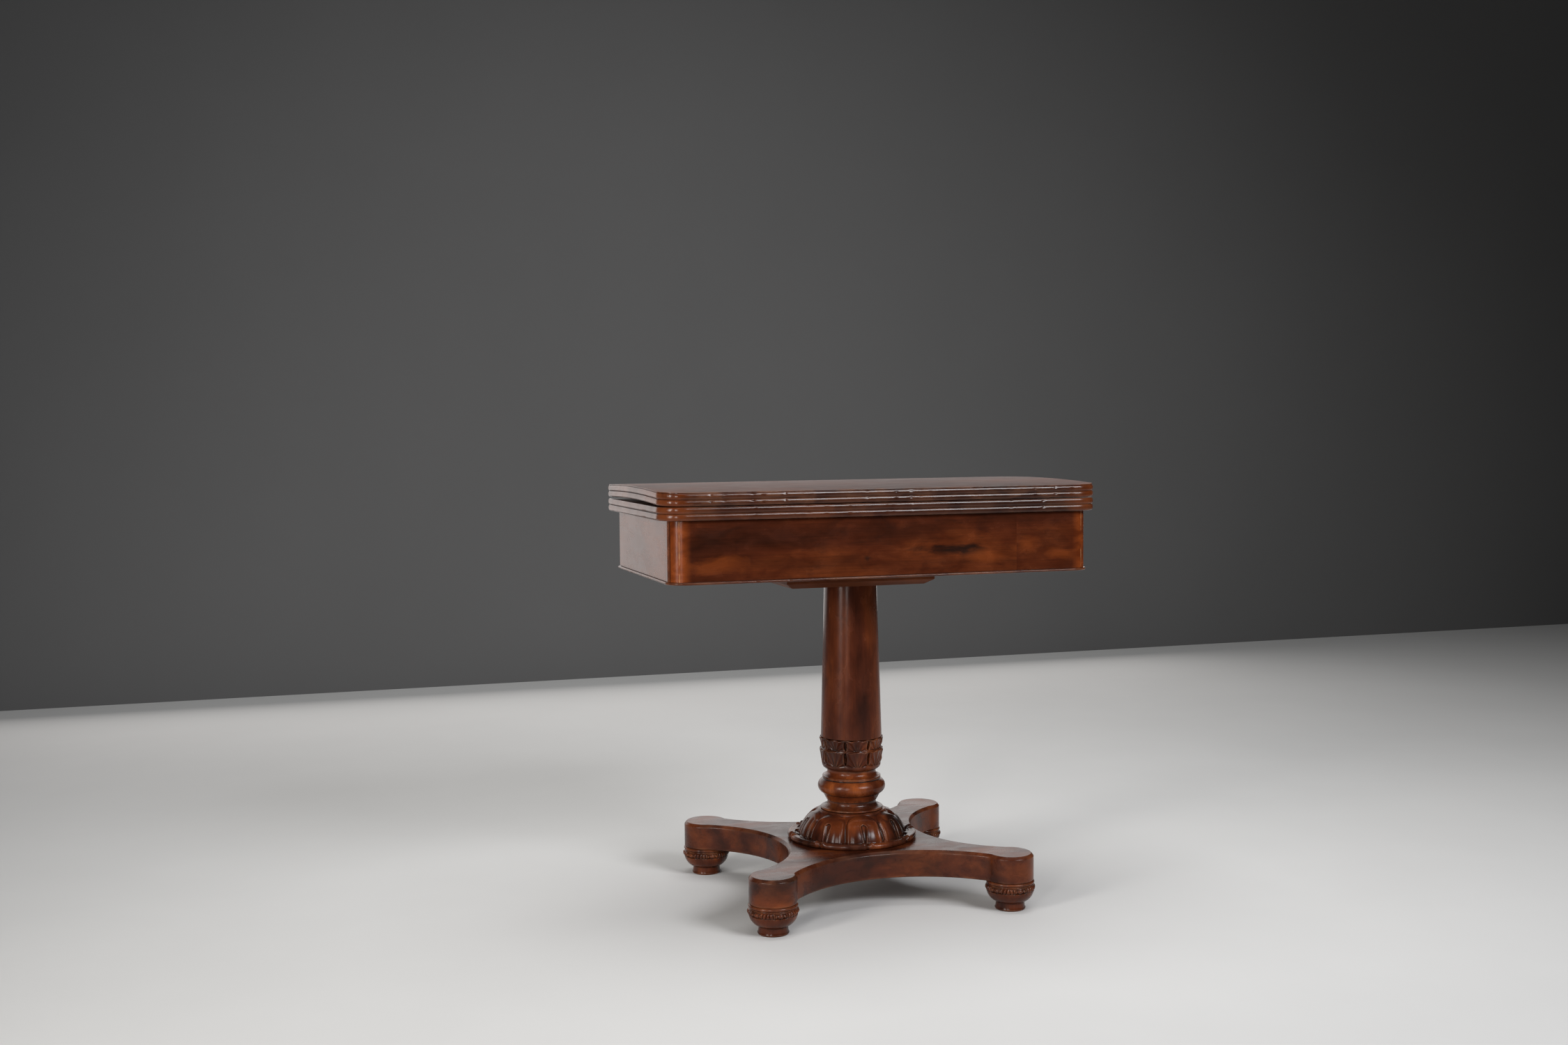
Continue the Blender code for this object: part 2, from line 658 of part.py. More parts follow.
def build_corner_blocks():
    """Front corner blocks, square inside and rounded outside."""
    rounded = arc((FRIEZE_CORNER, FRIEZE_CORNER), (FRIEZE_CORNER, FRIEZE_CORNER), 180, 270)
    outline = rounded + [(BLOCK_SIDE, 0), (BLOCK_SIDE, BLOCK_SIDE), (0, BLOCK_SIDE)]
    height = RAIL_HEIGHT - FIT
    for side, sign in (("left", 1), ("right", -1)):
        points = [(sign * x, y) for x, y in outline][::sign]
        mesh = prism("corner_block_" + side, points, height)
        at = (-sign * FRIEZE_X, -FRIEZE_Y, FRIEZE_TOP - height / 2)
        add_part("corner_block_" + side, mesh, at, ORANGE_MAHOGANY)


def bead_section():
    """Bead in section: distance out of the rail's face and height."""
    half = BEAD_HEIGHT / 2
    nose = arc((BEAD_PROJECTION - half, half), (half, half), -90, 90, MOULDING_STEPS)
    return [(-BEAD_WIDTH, 0)] + nose + [(-BEAD_WIDTH, BEAD_HEIGHT)]


def build_bead():
    """Cock bead under the rails: one strip with both corners, and one on each end."""
    stop_y = FRIEZE_CORNER - FRIEZE_Y
    corner_x = FRIEZE_X - FRIEZE_CORNER
    rings = []
    for centre_x, start in ((-corner_x, 180), (corner_x, 270)):
        for i in range(ARC_STEPS + 1):
            angle = math.radians(start + 90 * i / ARC_STEPS)
            ring = []
            for out, z in bead_section():
                reach = FRIEZE_CORNER + out
                ring.append((centre_x + reach * math.cos(angle), stop_y + reach * math.sin(angle), z))
            rings.append(ring)
    add_part("bead_front", loft("bead_front", rings), (0, 0, BEAD_Z), ORANGE_MAHOGANY)
    for side, sign in (("left", -1), ("right", 1)):
        ends = (stop_y + FIT, FRIEZE_Y)
        rings = [[(sign * (FRIEZE_X + out), y, z) for out, z in bead_section()] for y in ends]
        add_part("bead_" + side, loft("bead_" + side, rings), (0, 0, BEAD_Z), ORANGE_MAHOGANY)


def build_inner_frame(bearer):
    """Cross rails on the bearer, the card well, and the rail that carries the pivot."""
    reach = INNER_Y - FIT
    for side, sign in (("left", -1), ("right", 1)):
        low_x = sign * CROSS_RAIL_X - CROSS_RAIL_WIDTH / 2
        high_x = sign * CROSS_RAIL_X + CROSS_RAIL_WIDTH / 2
        low = (low_x, -reach, BEAD_Z)
        rail = add_box("cross_rail_" + side, low, (high_x, reach, CROSS_RAIL_TOP - FIT), CARCASS)
        for place, y in (("front", -BEARER_SCREW_Y), ("back", BEARER_SCREW_Y)):
            sizes = (BEARER_SCREW_HEAD, BEARER_SCREW_SHANK, BEARER_THICKNESS + BEARER_SCREW_BITE)
            at = (sign * CROSS_RAIL_X, y, BEARER_Z)
            add_screw(f"bearer_screw_{place}_{side}", at, sizes, bearer, rail)
    divider_low = DIVIDER_X - DIVIDER_THICKNESS / 2
    divider_high = DIVIDER_X + DIVIDER_THICKNESS / 2
    notch = BLOCK_SIDE - RAIL_THICKNESS + FIT
    floor_low, floor_high = CROSS_RAIL_TOP, CROSS_RAIL_TOP + WELL_FLOOR_THICKNESS
    low = (FIT - INNER_X, -reach, floor_low)
    floor = add_box("well_floor", low, (divider_low - FIT, reach, floor_high), CARCASS)
    corner_low = (-INNER_X - PROUD, -INNER_Y - PROUD, floor_low - PROUD)
    corner_high = (-INNER_X + notch, -INNER_Y + notch, floor_high + PROUD)
    cut(floor, add_box_cutter("well_floor_notch", corner_low, corner_high))
    add_box("well_divider", (divider_low, -reach, floor_low), (divider_high, reach, FRIEZE_TOP), CARCASS)
    low = (PIVOT - PIVOT_RAIL_HALF, -reach, FRIEZE_TOP - PIVOT_RAIL_THICKNESS)
    high = (PIVOT + PIVOT_RAIL_HALF, reach, FRIEZE_TOP)
    pivot_rail = add_box("pivot_rail", low, high, CARCASS)
    hole = cylinder_mesh("pivot_hole", PIVOT_BOLT_RADIUS + RUN, PIVOT_RAIL_THICKNESS + 2 * PROUD)
    cut(pivot_rail, add_cutter("pivot_hole", hole, (PIVOT, PIVOT, low[2] - PROUD)))


# Top


def leaf_outline(inset):
    """Leaf in plan, counter-clockwise: square at the back, rounded at the front corners."""
    x, y = LEAF_LENGTH / 2, LEAF_DEPTH / 2
    radius = LEAF_CORNER - inset
    left = arc((LEAF_CORNER - x, LEAF_CORNER - y), (radius, radius), 180, 270)
    right = arc((x - LEAF_CORNER, LEAF_CORNER - y), (radius, radius), 270, 360)
    return [(inset - x, y)] + left + right + [(x - inset, y)]


def leaf_mesh(name, arris):
    """A leaf with two half-round reeds on the front and ends, and an arris above them if asked."""
    top = LEAF_THICKNESS - arris
    reed = top / 2
    levels = []
    for number in range(2):
        centre = (0, reed * (number + 0.5))
        for drop, height in arc(centre, (REED_DEPTH, reed / 2), -90, 90, MOULDING_STEPS)[number:]:
            levels.append((REED_DEPTH - drop, height))
    if arris:
        levels += [(ARRIS_SET, top + FIT), (ARRIS_SET, LEAF_THICKNESS)]
    return loft(name, [[(x, y, z) for x, y in leaf_outline(inset)] for inset, z in levels])


def cup_lift(y):
    """Lift of the cupped leaf above its hinge edge, at a distance from front to back."""
    land = LEAF_DEPTH / 2 - HINGE_LAND
    t = max(0.0, (land - y) / (land + LEAF_DEPTH / 2))
    return 4 * CUP * t * (1 - t) + (FRONT_GAP - BACK_GAP) * t


def cup_mesh(obj):
    """Bend a finished flat piece of the upper leaf to the cupped form."""
    mesh = evaluated_mesh(obj)
    land = LEAF_DEPTH / 2 - HINGE_LAND
    bm = bmesh.new()
    bm.from_mesh(mesh)
    for i in range(CUP_STRIPS):
        y = land - (land + LEAF_DEPTH / 2) * i / CUP_STRIPS - obj.location.y
        everything = bm.verts[:] + bm.edges[:] + bm.faces[:]
        bmesh.ops.bisect_plane(bm, geom=everything, dist=0.000001, plane_co=(0, y, 0), plane_no=(0, 1, 0))
    for vert in bm.verts:
        vert.co.z += cup_lift(vert.co.y + obj.location.y)
    bm.to_mesh(mesh)
    bm.free()
    obj.modifiers.clear()
    obj.data = mesh


def baize_bounds():
    x = LEAF_LENGTH / 2 - BAIZE_BORDER
    return (-x, BAIZE_BORDER - LEAF_DEPTH / 2), (x, LEAF_DEPTH / 2 - BAIZE_HINGE_BORDER)


def add_baize(name, leaf, face_z, out):
    """Cloth in a recess of a leaf's inner face, which looks up (out = 1) or down (out = -1)."""
    (x0, y0), (x1, y1) = baize_bounds()
    recess = sorted((face_z + out * PROUD, face_z - out * BAIZE_RECESS))
    cut(leaf, add_box_cutter(name + "_recess", (x0, y0, recess[0]), (x1, y1, recess[1])))
    back = face_z - out * (BAIZE_RECESS - FIT)
    cloth = sorted((back, back + out * BAIZE_THICKNESS))
    return add_box(name, (x0 + FIT, y0 + FIT, cloth[0]), (x1 - FIT, y1 - FIT, cloth[1]), BAIZE)


def flap_outline():
    """Hinge flap with its knuckle in section about the pin, with the flap below it and y to the back."""
    inner = -PIN_SET - FLAP_THICKNESS
    outer = -PIN_SET
    start = math.degrees(math.atan2(-math.sqrt(KNUCKLE_RADIUS ** 2 - outer ** 2), outer))
    end = math.degrees(math.atan2(-math.sqrt(KNUCKLE_RADIUS ** 2 - inner ** 2), inner)) + 360
    knuckle = arc((0, 0), (KNUCKLE_RADIUS, KNUCKLE_RADIUS), start, end, 2 * ARC_STEPS)
    return [(inner, -HINGE_HEIGHT), (outer, -HINGE_HEIGHT)] + knuckle


def flap_mesh(name, up):
    """A flap along X with a knuckle over its whole length; a flap that points up is mirrored."""
    mesh = prism(name, flap_outline(), HINGE_LENGTH)
    mesh.transform(Matrix(((0, 0, 1, 0), (1, 0, 0, 0), (0, 1, 0, 0), (0, 0, 0, 1))))
    if up:
        mesh.transform(Matrix.Scale(-1, 4, (0, 0, 1)))
        mesh.flip_normals()
    return mesh


def rod_mesh(name, radius, length):
    """A cylinder along X, centred on the origin."""
    mesh = cylinder_mesh(name, radius, length)
    mesh.transform(Matrix.Rotation(math.radians(90), 4, "Y") @ Matrix.Translation((0, 0, -length / 2)))
    return mesh


def hinge_places():
    spread = LEAF_LENGTH / 2 - HINGE_END_INSET
    return (("left", -spread), ("middle", 0.0), ("right", spread))


def add_hinge(side, x, lower_leaf, upper_leaf):
    """One butt hinge: both flaps, their pin, and their seats in the leaves' back edges."""
    at = (x, HINGE_Y, HINGE_Z)
    half = HINGE_LENGTH / 2
    middle = MIDDLE_KNUCKLE / 2
    room = KNUCKLE_RADIUS + RUN
    lower = add_part("hinge_lower_flap_" + side, flap_mesh("hinge_lower_flap_" + side, False), at, BRASS)
    upper = add_part("hinge_upper_flap_" + side, flap_mesh("hinge_upper_flap_" + side, True), at, BRASS)
    pin_mesh = rod_mesh("hinge_pin_" + side, PIN_RADIUS, HINGE_LENGTH - 2 * FIT)
    pin = add_part("hinge_pin_" + side, pin_mesh, at, BRASS)
    bore_mesh = rod_mesh("hinge_bore_" + side, PIN_RADIUS + FIT, HINGE_LENGTH + 2 * PROUD)
    bore = add_cutter("hinge_bore_" + side, bore_mesh, at)
    spans = (("near", -half - PROUD, -middle + RUN / 2), ("far", middle - RUN / 2, half + PROUD))
    for end, start, stop in spans:
        low = (x + start, HINGE_Y - room, HINGE_Z - room)
        high = (x + stop, HINGE_Y + room, HINGE_Z + room)
        cut(upper, add_box_cutter(f"hinge_{end}_{side}", low, high))
    low = (x - middle - RUN / 2, HINGE_Y - room, HINGE_Z - room)
    high = (x + middle + RUN / 2, HINGE_Y + room, HINGE_Z + room)
    cut(lower, add_box_cutter("hinge_middle_" + side, low, high), bore)
    cut(upper, bore)
    seat_front = LEAF_DEPTH / 2 - FLAP_THICKNESS - FIT
    sweep = add_cutter("hinge_sweep_" + side, rod_mesh("hinge_sweep_" + side, room, 2 * (half + RUN)), at)
    reach = HINGE_HEIGHT + FIT
    for leaf, flap, drop, rise in ((lower_leaf, "lower", reach, 0), (upper_leaf, "upper", 0, reach)):
        low = (x - half - FIT, seat_front, HINGE_Z - drop)
        high = (x + half + FIT, HINGE_Y + PROUD, HINGE_Z + rise)
        cut(leaf, add_box_cutter(f"hinge_{flap}_seat_{side}", low, high), sweep)
    return lower, upper, pin


def build_pivot(leaf):
    """Pivot plate and bolt in the lower leaf, with the washer and nut under the pivot rail."""
    half = PIVOT_PLATE_SIDE / 2
    plate_top = LOWER_Z + PIVOT_PLATE_THICKNESS
    plate_low = (PIVOT - half, PIVOT - half, LOWER_Z)
    plate = add_box("pivot_plate", plate_low, (PIVOT + half, PIVOT + half, plate_top), IRON)
    seat = half + FIT
    seat_low = (PIVOT - seat, PIVOT - seat, LOWER_Z - PROUD)
    cut(leaf, add_box_cutter("pivot_plate_seat", seat_low, (PIVOT + seat, PIVOT + seat, plate_top + FIT)))
    shank_hole = cylinder_mesh("pivot_plate_hole", PIVOT_BOLT_RADIUS + FIT, PIVOT_PLATE_THICKNESS + 2 * PROUD)
    cut(plate, add_cutter("pivot_plate_hole", shank_hole, (PIVOT, PIVOT, LOWER_Z - PROUD)))
    head_hole = cylinder_mesh("pivot_head_seat", PIVOT_HEAD_RADIUS + FIT, PIVOT_HEAD_HEIGHT + 2 * FIT)
    cut(leaf, add_cutter("pivot_head_seat", head_hole, (PIVOT, PIVOT, plate_top + FIT / 2)))
    pieces = [plate]
    inset = half - PLATE_SCREW_INSET
    for place, sy in (("front", -1), ("back", 1)):
        for side, sx in (("left", -1), ("right", 1)):
            sizes = (PLATE_SCREW_HEAD, PLATE_SCREW_SHANK, PLATE_SCREW_LENGTH)
            at = (PIVOT + sx * inset, PIVOT + sy * inset, LOWER_Z)
            pieces.append(add_screw(f"plate_screw_{place}_{side}", at, sizes, plate, leaf))
    head_low = plate_top + FIT
    washer_top = FRIEZE_TOP - PIVOT_RAIL_THICKNESS - FIT
    nut_top = washer_top - WASHER_THICKNESS - FIT
    bolt_low = nut_top - NUT_HEIGHT - BOLT_END
    head_top = head_low + PIVOT_HEAD_HEIGHT
    bolt = [(0, head_top), (PIVOT_HEAD_RADIUS, head_top), (PIVOT_HEAD_RADIUS, head_low),
            (PIVOT_BOLT_RADIUS, head_low), (PIVOT_BOLT_RADIUS, bolt_low), (0, bolt_low)]
    pieces.append(turned("pivot_bolt", bolt, (PIVOT, PIVOT, 0), IRON, SMALL_STEPS))
    hole = PIVOT_BOLT_RADIUS + FIT
    washer = [(hole, 0), (WASHER_RADIUS, 0), (WASHER_RADIUS, -WASHER_THICKNESS), (hole, -WASHER_THICKNESS)]
    pieces.append(turned("pivot_washer", washer, (PIVOT, PIVOT, washer_top), IRON, SMALL_STEPS, ring=True))
    nut_mesh = box_mesh("pivot_nut", NUT_SIDE, NUT_SIDE, NUT_HEIGHT)
    nut = add_part("pivot_nut", nut_mesh, (PIVOT, PIVOT, nut_top - NUT_HEIGHT), IRON)
    nut_hole = cylinder_mesh("pivot_nut_hole", hole, NUT_HEIGHT + 2 * PROUD)
    cut(nut, add_cutter("pivot_nut_hole", nut_hole, (PIVOT, PIVOT, nut_top - NUT_HEIGHT - PROUD)))
    return pieces + [nut]


def build_stop_peg(leaf):
    """Peg that meets the pivot rail when the top is closed and the back rail when it is turned."""
    x, y = PIVOT + STOP_PEG_REACH, PIVOT - STOP_PEG_OFFSET
    mesh = cylinder_mesh("stop_peg", STOP_PEG_RADIUS, STOP_PEG_LENGTH + STOP_PEG_HOLE - FIT)
    peg = add_part("stop_peg", mesh, (x, y, LOWER_Z - STOP_PEG_LENGTH), CARCASS)
    hole = cylinder_mesh("stop_peg_hole", STOP_PEG_RADIUS + FIT, STOP_PEG_HOLE + PROUD)
    cut(leaf, add_cutter("stop_peg_hole", hole, (x, y, LOWER_Z - PROUD)))
    return peg


def build_top():
    """Both leaves with everything that moves with them, hung on the two joints' axes."""
    lower = add_part("lower_leaf", leaf_mesh("lower_leaf", 0.0), (0, 0, LOWER_Z))
    upper = add_part("upper_leaf", leaf_mesh("upper_leaf", ARRIS_HEIGHT), (0, 0, UPPER_Z))
    on_lower = [lower, add_baize("lower_baize", lower, LOWER_TOP, 1)]
    on_upper = [upper, add_baize("upper_baize", upper, UPPER_Z, -1)]
    for side, x in hinge_places():
        lower_flap, upper_flap, pin = add_hinge(side, x, lower, upper)
        on_lower += [lower_flap, pin]
        on_upper.append(upper_flap)
    on_lower += build_pivot(lower)
    on_lower.append(build_stop_peg(lower))
    for obj in on_upper[:2]:
        cup_mesh(obj)
    swivel = add_axis("top_swivel_axis", (PIVOT, PIVOT, LOWER_Z))
    fold = add_axis("leaf_fold_axis", (0, HINGE_Y, HINGE_Z), swivel)
    hang_on(swivel, *on_lower)
    hang_on(fold, *on_upper)


for old in list(bpy.data.objects):
    bpy.data.objects.remove(old, do_unlink=True)
PARTS = new_collection("card_table")
CUTTERS = new_collection("cutters")
build_platform()
build_feet()
build_dome()
build_column()
bearer_block = build_bearer()
build_rails()
build_corner_blocks()
build_bead()
build_inner_frame(bearer_block)
build_top()
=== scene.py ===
"""Dressed model of a fold-over card table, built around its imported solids.

Metres, in the solids' own frame: the origin on the floor under the column, X along the front
edge to the right, +Y to the back and +Z up. Each visible wooden piece is made again with its
fine mouldings, carving and wear. The hidden joinery keeps its solids and gets materials.
"""
import json
import math
import random

import bmesh
import bpy
import numpy as np
from mathutils import Matrix, Vector, noise

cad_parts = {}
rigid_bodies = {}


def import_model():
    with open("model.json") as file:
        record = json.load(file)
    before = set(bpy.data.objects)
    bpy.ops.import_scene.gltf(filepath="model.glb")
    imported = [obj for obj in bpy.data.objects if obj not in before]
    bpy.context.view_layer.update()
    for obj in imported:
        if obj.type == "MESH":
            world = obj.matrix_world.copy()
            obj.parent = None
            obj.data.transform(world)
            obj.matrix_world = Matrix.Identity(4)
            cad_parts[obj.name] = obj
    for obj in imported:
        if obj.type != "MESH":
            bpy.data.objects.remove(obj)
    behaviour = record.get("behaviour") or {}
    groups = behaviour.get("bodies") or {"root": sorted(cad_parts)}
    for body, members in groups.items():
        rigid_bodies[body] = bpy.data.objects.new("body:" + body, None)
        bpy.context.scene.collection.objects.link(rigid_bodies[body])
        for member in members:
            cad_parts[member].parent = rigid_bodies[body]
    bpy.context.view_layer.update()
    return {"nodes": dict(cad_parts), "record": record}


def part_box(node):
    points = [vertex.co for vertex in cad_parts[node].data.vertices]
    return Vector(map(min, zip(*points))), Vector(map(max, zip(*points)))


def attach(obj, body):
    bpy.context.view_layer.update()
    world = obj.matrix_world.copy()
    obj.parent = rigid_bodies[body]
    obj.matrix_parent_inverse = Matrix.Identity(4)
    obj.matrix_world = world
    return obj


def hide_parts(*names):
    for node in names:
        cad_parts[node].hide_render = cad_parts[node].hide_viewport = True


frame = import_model()

# Clearances of the solids, and how far a cutter stands out of what it cuts
FIT = 0.0003
RUN = 0.0005
PROUD = 0.002

# Leaves of the top
LEAF_X = 0.405
LEAF_Y = 0.2025
LEAF_THICKNESS = 0.023
LEAF_CORNER = 0.042
REED_DEPTH = 0.0030
ARRIS_HEIGHT = 0.0014
ARRIS_SET = 0.0016
ARRIS_ROUND = 0.0006
FRONT_GAP = 0.0010
BACK_GAP = 0.0030
CUP = 0.0040
BAIZE_BORDER = 0.046
BAIZE_HINGE_BORDER = 0.024
BAIZE_THICKNESS = 0.0008
BAIZE_RECESS = 0.0014

# Hinges
HINGE_END_INSET = 0.120
HINGE_LENGTH = 0.060
HINGE_HEIGHT = 0.0175
FLAP_THICKNESS = 0.0020
KNUCKLE_RADIUS = 0.0034
MIDDLE_KNUCKLE = 0.026
PIN_RADIUS = 0.0015
PIN_SET = 0.0006
SCREW_HEAD = 0.0031
SCREW_SINK = 0.0012                 # depth of a screw's head in its plate
SCREW_PROUD = 0.0002
SCREW_SLOT = (0.0045, 0.0005, 0.0004)   # half length, depth and half width
SCREW_PLACES = ((-0.021, 0.0105), (0.0, 0.0128), (0.021, 0.0105))

# Frieze and pivot
FRIEZE_CORNER = 0.030
RAIL_EASE = 0.0004
BEAD_HEIGHT = 0.0045
BEAD_PROJECTION = 0.0038
BEAD_WIDTH = 0.012
PIVOT = 0.10125
PIVOT_PLATE_SIDE = 0.070
PIVOT_PLATE_THICKNESS = 0.003
PIVOT_HEAD_RADIUS = 0.012
PIVOT_HEAD_HEIGHT = 0.005
STOP_PEG_RADIUS = 0.008
STOP_PEG_HOLE = 0.012

# Column
BEARER_CHAMFER = 0.015
BEARER_CHAMFER_RISE = 0.0095
BEARER_SCREW_HEAD = 0.0056
BEARER_SCREW_SHANK = 0.0028
SHAFT_TOP_RADIUS = 0.0482
SHAFT_FOOT_RADIUS = 0.0560
TENON_RADIUS = 0.020
WEDGE_LENGTH = 0.020
WEDGE_THICKNESS = 0.004
WEDGE_WIDTH = 0.026
LOWER_TIER = 0.0380
COLLAR_TIP_RADIUS = 0.0592
COLLAR_PINCH_RADIUS = 0.0550
COLLAR_LOW_RADIUS = 0.0540
COLLAR_CUP = 0.0085
COLLAR_FOOT_RADIUS = 0.0446
KNOP_FILLET = 0.0045
KNOP_CAVETTO = 0.0085
KNOP_RING = 0.0040
KNOP_TORUS = 0.0300
KNOP_TAPER = 0.0105
KNOP_LOW_FILLET = 0.0030
KNOP_SCOTIA = 0.0100
KNOP_LOW_ROLL = 0.00175
KNOP_NECK_RADIUS = 0.0446
KNOP_RING_RADIUS = 0.0537
KNOP_TORUS_RADIUS = 0.0621
KNOP_TORUS_ARC = 62
KNOP_TAPER_RADIUS = 0.0462
KNOP_BASE_RADIUS = 0.0575
DOME_TOP_RADIUS = 0.0595
DOME_WALL_RADIUS = 0.0975
DOME_CROWN = 0.0065
RIM_RADIUS = 0.1186
RIM_HEIGHT = 0.0105
COVE_WIDTH = 0.0070
COVE_DEPTH = 0.0035

# Platform and feet
PLATFORM_CHAMFER = 0.0042
CHAMFER_DROP = 0.0050
PLATFORM_EASE = 0.0012
FOOT_X = 0.221
FOOT_Y = 0.210
LOBE_RADIUS = 0.0415
LOBE_STEP = 0.0105
WAIST = 0.134
TOE_RADIUS = 0.0271
TOE_HEIGHT = 0.0065
TOE_ROLL = 0.0028
ANKLE_RADIUS = 0.0254
ANKLE_HEIGHT = 0.0077
NECK_STEP = 0.0006                  # how far the bowl overhangs the ankle
BUN_RADIUS = 0.0446
BOWL_RADIUS = 0.0424
BOWL_CROWN = 0.0035
FOOT_BAND = 0.0095
BAND_SWELL = 0.0042                 # how far the carved band rounds out
FOOT_RING = 0.0080
FOOT_RING_RADIUS = 0.0428
DOWEL_RADIUS = 0.011

# Levels, read from the solids
PLATFORM_LOW, PLATFORM_HIGH = (corner.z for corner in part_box("base_platform"))
DOME_LOW, DOME_HIGH = (corner.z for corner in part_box("dome_cap"))
KNOP_LOW, KNOP_HIGH = (corner.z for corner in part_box("knop"))
COLLAR_LOW, COLLAR_HIGH = (corner.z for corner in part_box("leaf_collar"))
FOOT_TOP = PLATFORM_LOW - FIT
DOWEL_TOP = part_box("foot_front_left")[1].z
FRIEZE_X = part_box("frieze_right_rail")[1].x
FRIEZE_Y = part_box("frieze_back_rail")[1].y
BEAD_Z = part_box("bead_front")[0].z
LOWER_Z, LOWER_TOP = (corner.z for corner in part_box("lower_leaf"))
UPPER_Z = LOWER_TOP + BACK_GAP
HINGE_Y = LEAF_Y + PIN_SET
HINGE_Z = LOWER_TOP + BACK_GAP / 2
HINGE_LAND = FLAP_THICKNESS + KNUCKLE_RADIUS + RUN
HINGE_SPREAD = LEAF_X - HINGE_END_INSET
BORE_RADIUS = TENON_RADIUS + FIT

# Places that repeat
SIDES = (("left", -1), ("right", 1))
CORNERS = (("front_left", -1, -1), ("front_right", 1, -1), ("back_left", -1, 1), ("back_right", 1, 1))
HINGES = (("left", -HINGE_SPREAD), ("middle", 0.0), ("right", HINGE_SPREAD))

# Fineness
ROUND_STEPS = 160
DOME_STEPS = 720
COLLAR_STEPS = 480
FOOT_STEPS = 432
MOULDING_STEPS = 10
FRONT_STEPS = 360
SIDE_STEPS = 28
CLOTH_COLUMNS = 96
CLOTH_ROWS = 46
SOFT = 0.0007                       # radius of an eased edge
SHARP_TURN = math.radians(25)       # a section's corners that turn more are eased

# Wear, and painted shade in hollows
WAVE = 0.00009                      # how uneven a worn moulding is
WAVE_PITCH = 26                     # waves per metre
NICKS = 46
NICK_DEPTH = (0.0003, 0.0009)
NICK_WIDTH = (0.0012, 0.0030)
NICK_HEIGHT = 0.12                  # share of the moulding's height
RIDGE_CURVE = 900.0                 # curvature in 1/m of an edge that is fully rubbed
HOLLOW_CURVE = 700.0                # and of a hollow that is full of dark wax and painted shade
WEAR_AND_SHADE_FACE = 0.009                   # longest edge of a face that can show wear and painted shade


# Camera and light

CAMERA_AT = (-1.087, -2.919, 0.8667)
CAMERA_YAW = -18.206                # degrees
CAMERA_TILT = 86.601
CAMERA_ROLL = -0.471
CAMERA_LENS = 39.118                # millimetres
SENSOR = 36.0


def turned(degrees, axis):
    return Matrix.Rotation(math.radians(degrees), 4, axis)


def add_object(name, data):
    obj = bpy.data.objects.new(name, data)
    bpy.context.scene.collection.objects.link(obj)
    return obj


def place_camera():
    camera = add_object("camera", bpy.data.cameras.new("camera"))
    camera.data.lens = CAMERA_LENS
    camera.data.sensor_width = SENSOR
    turn = turned(CAMERA_YAW, "Z") @ turned(CAMERA_TILT, "X") @ turned(CAMERA_ROLL, "Z")
    camera.matrix_world = Matrix.Translation(CAMERA_AT) @ turn
    bpy.context.scene.camera = camera


def add_lamp(name, at, target, size, power, colour, spread):
    lamp = bpy.data.lights.new(name, "AREA")
    lamp.shape = "RECTANGLE"
    lamp.size, lamp.size_y = size
    lamp.energy = power
    lamp.color = colour
    lamp.spread = math.radians(spread)
    obj = add_object(name, lamp)
    aim = Vector(target) - Vector(at)
    obj.matrix_world = Matrix.Translation(at) @ aim.to_track_quat("-Z", "Y").to_matrix().to_4x4()
    obj.visible_camera = False


# Materials


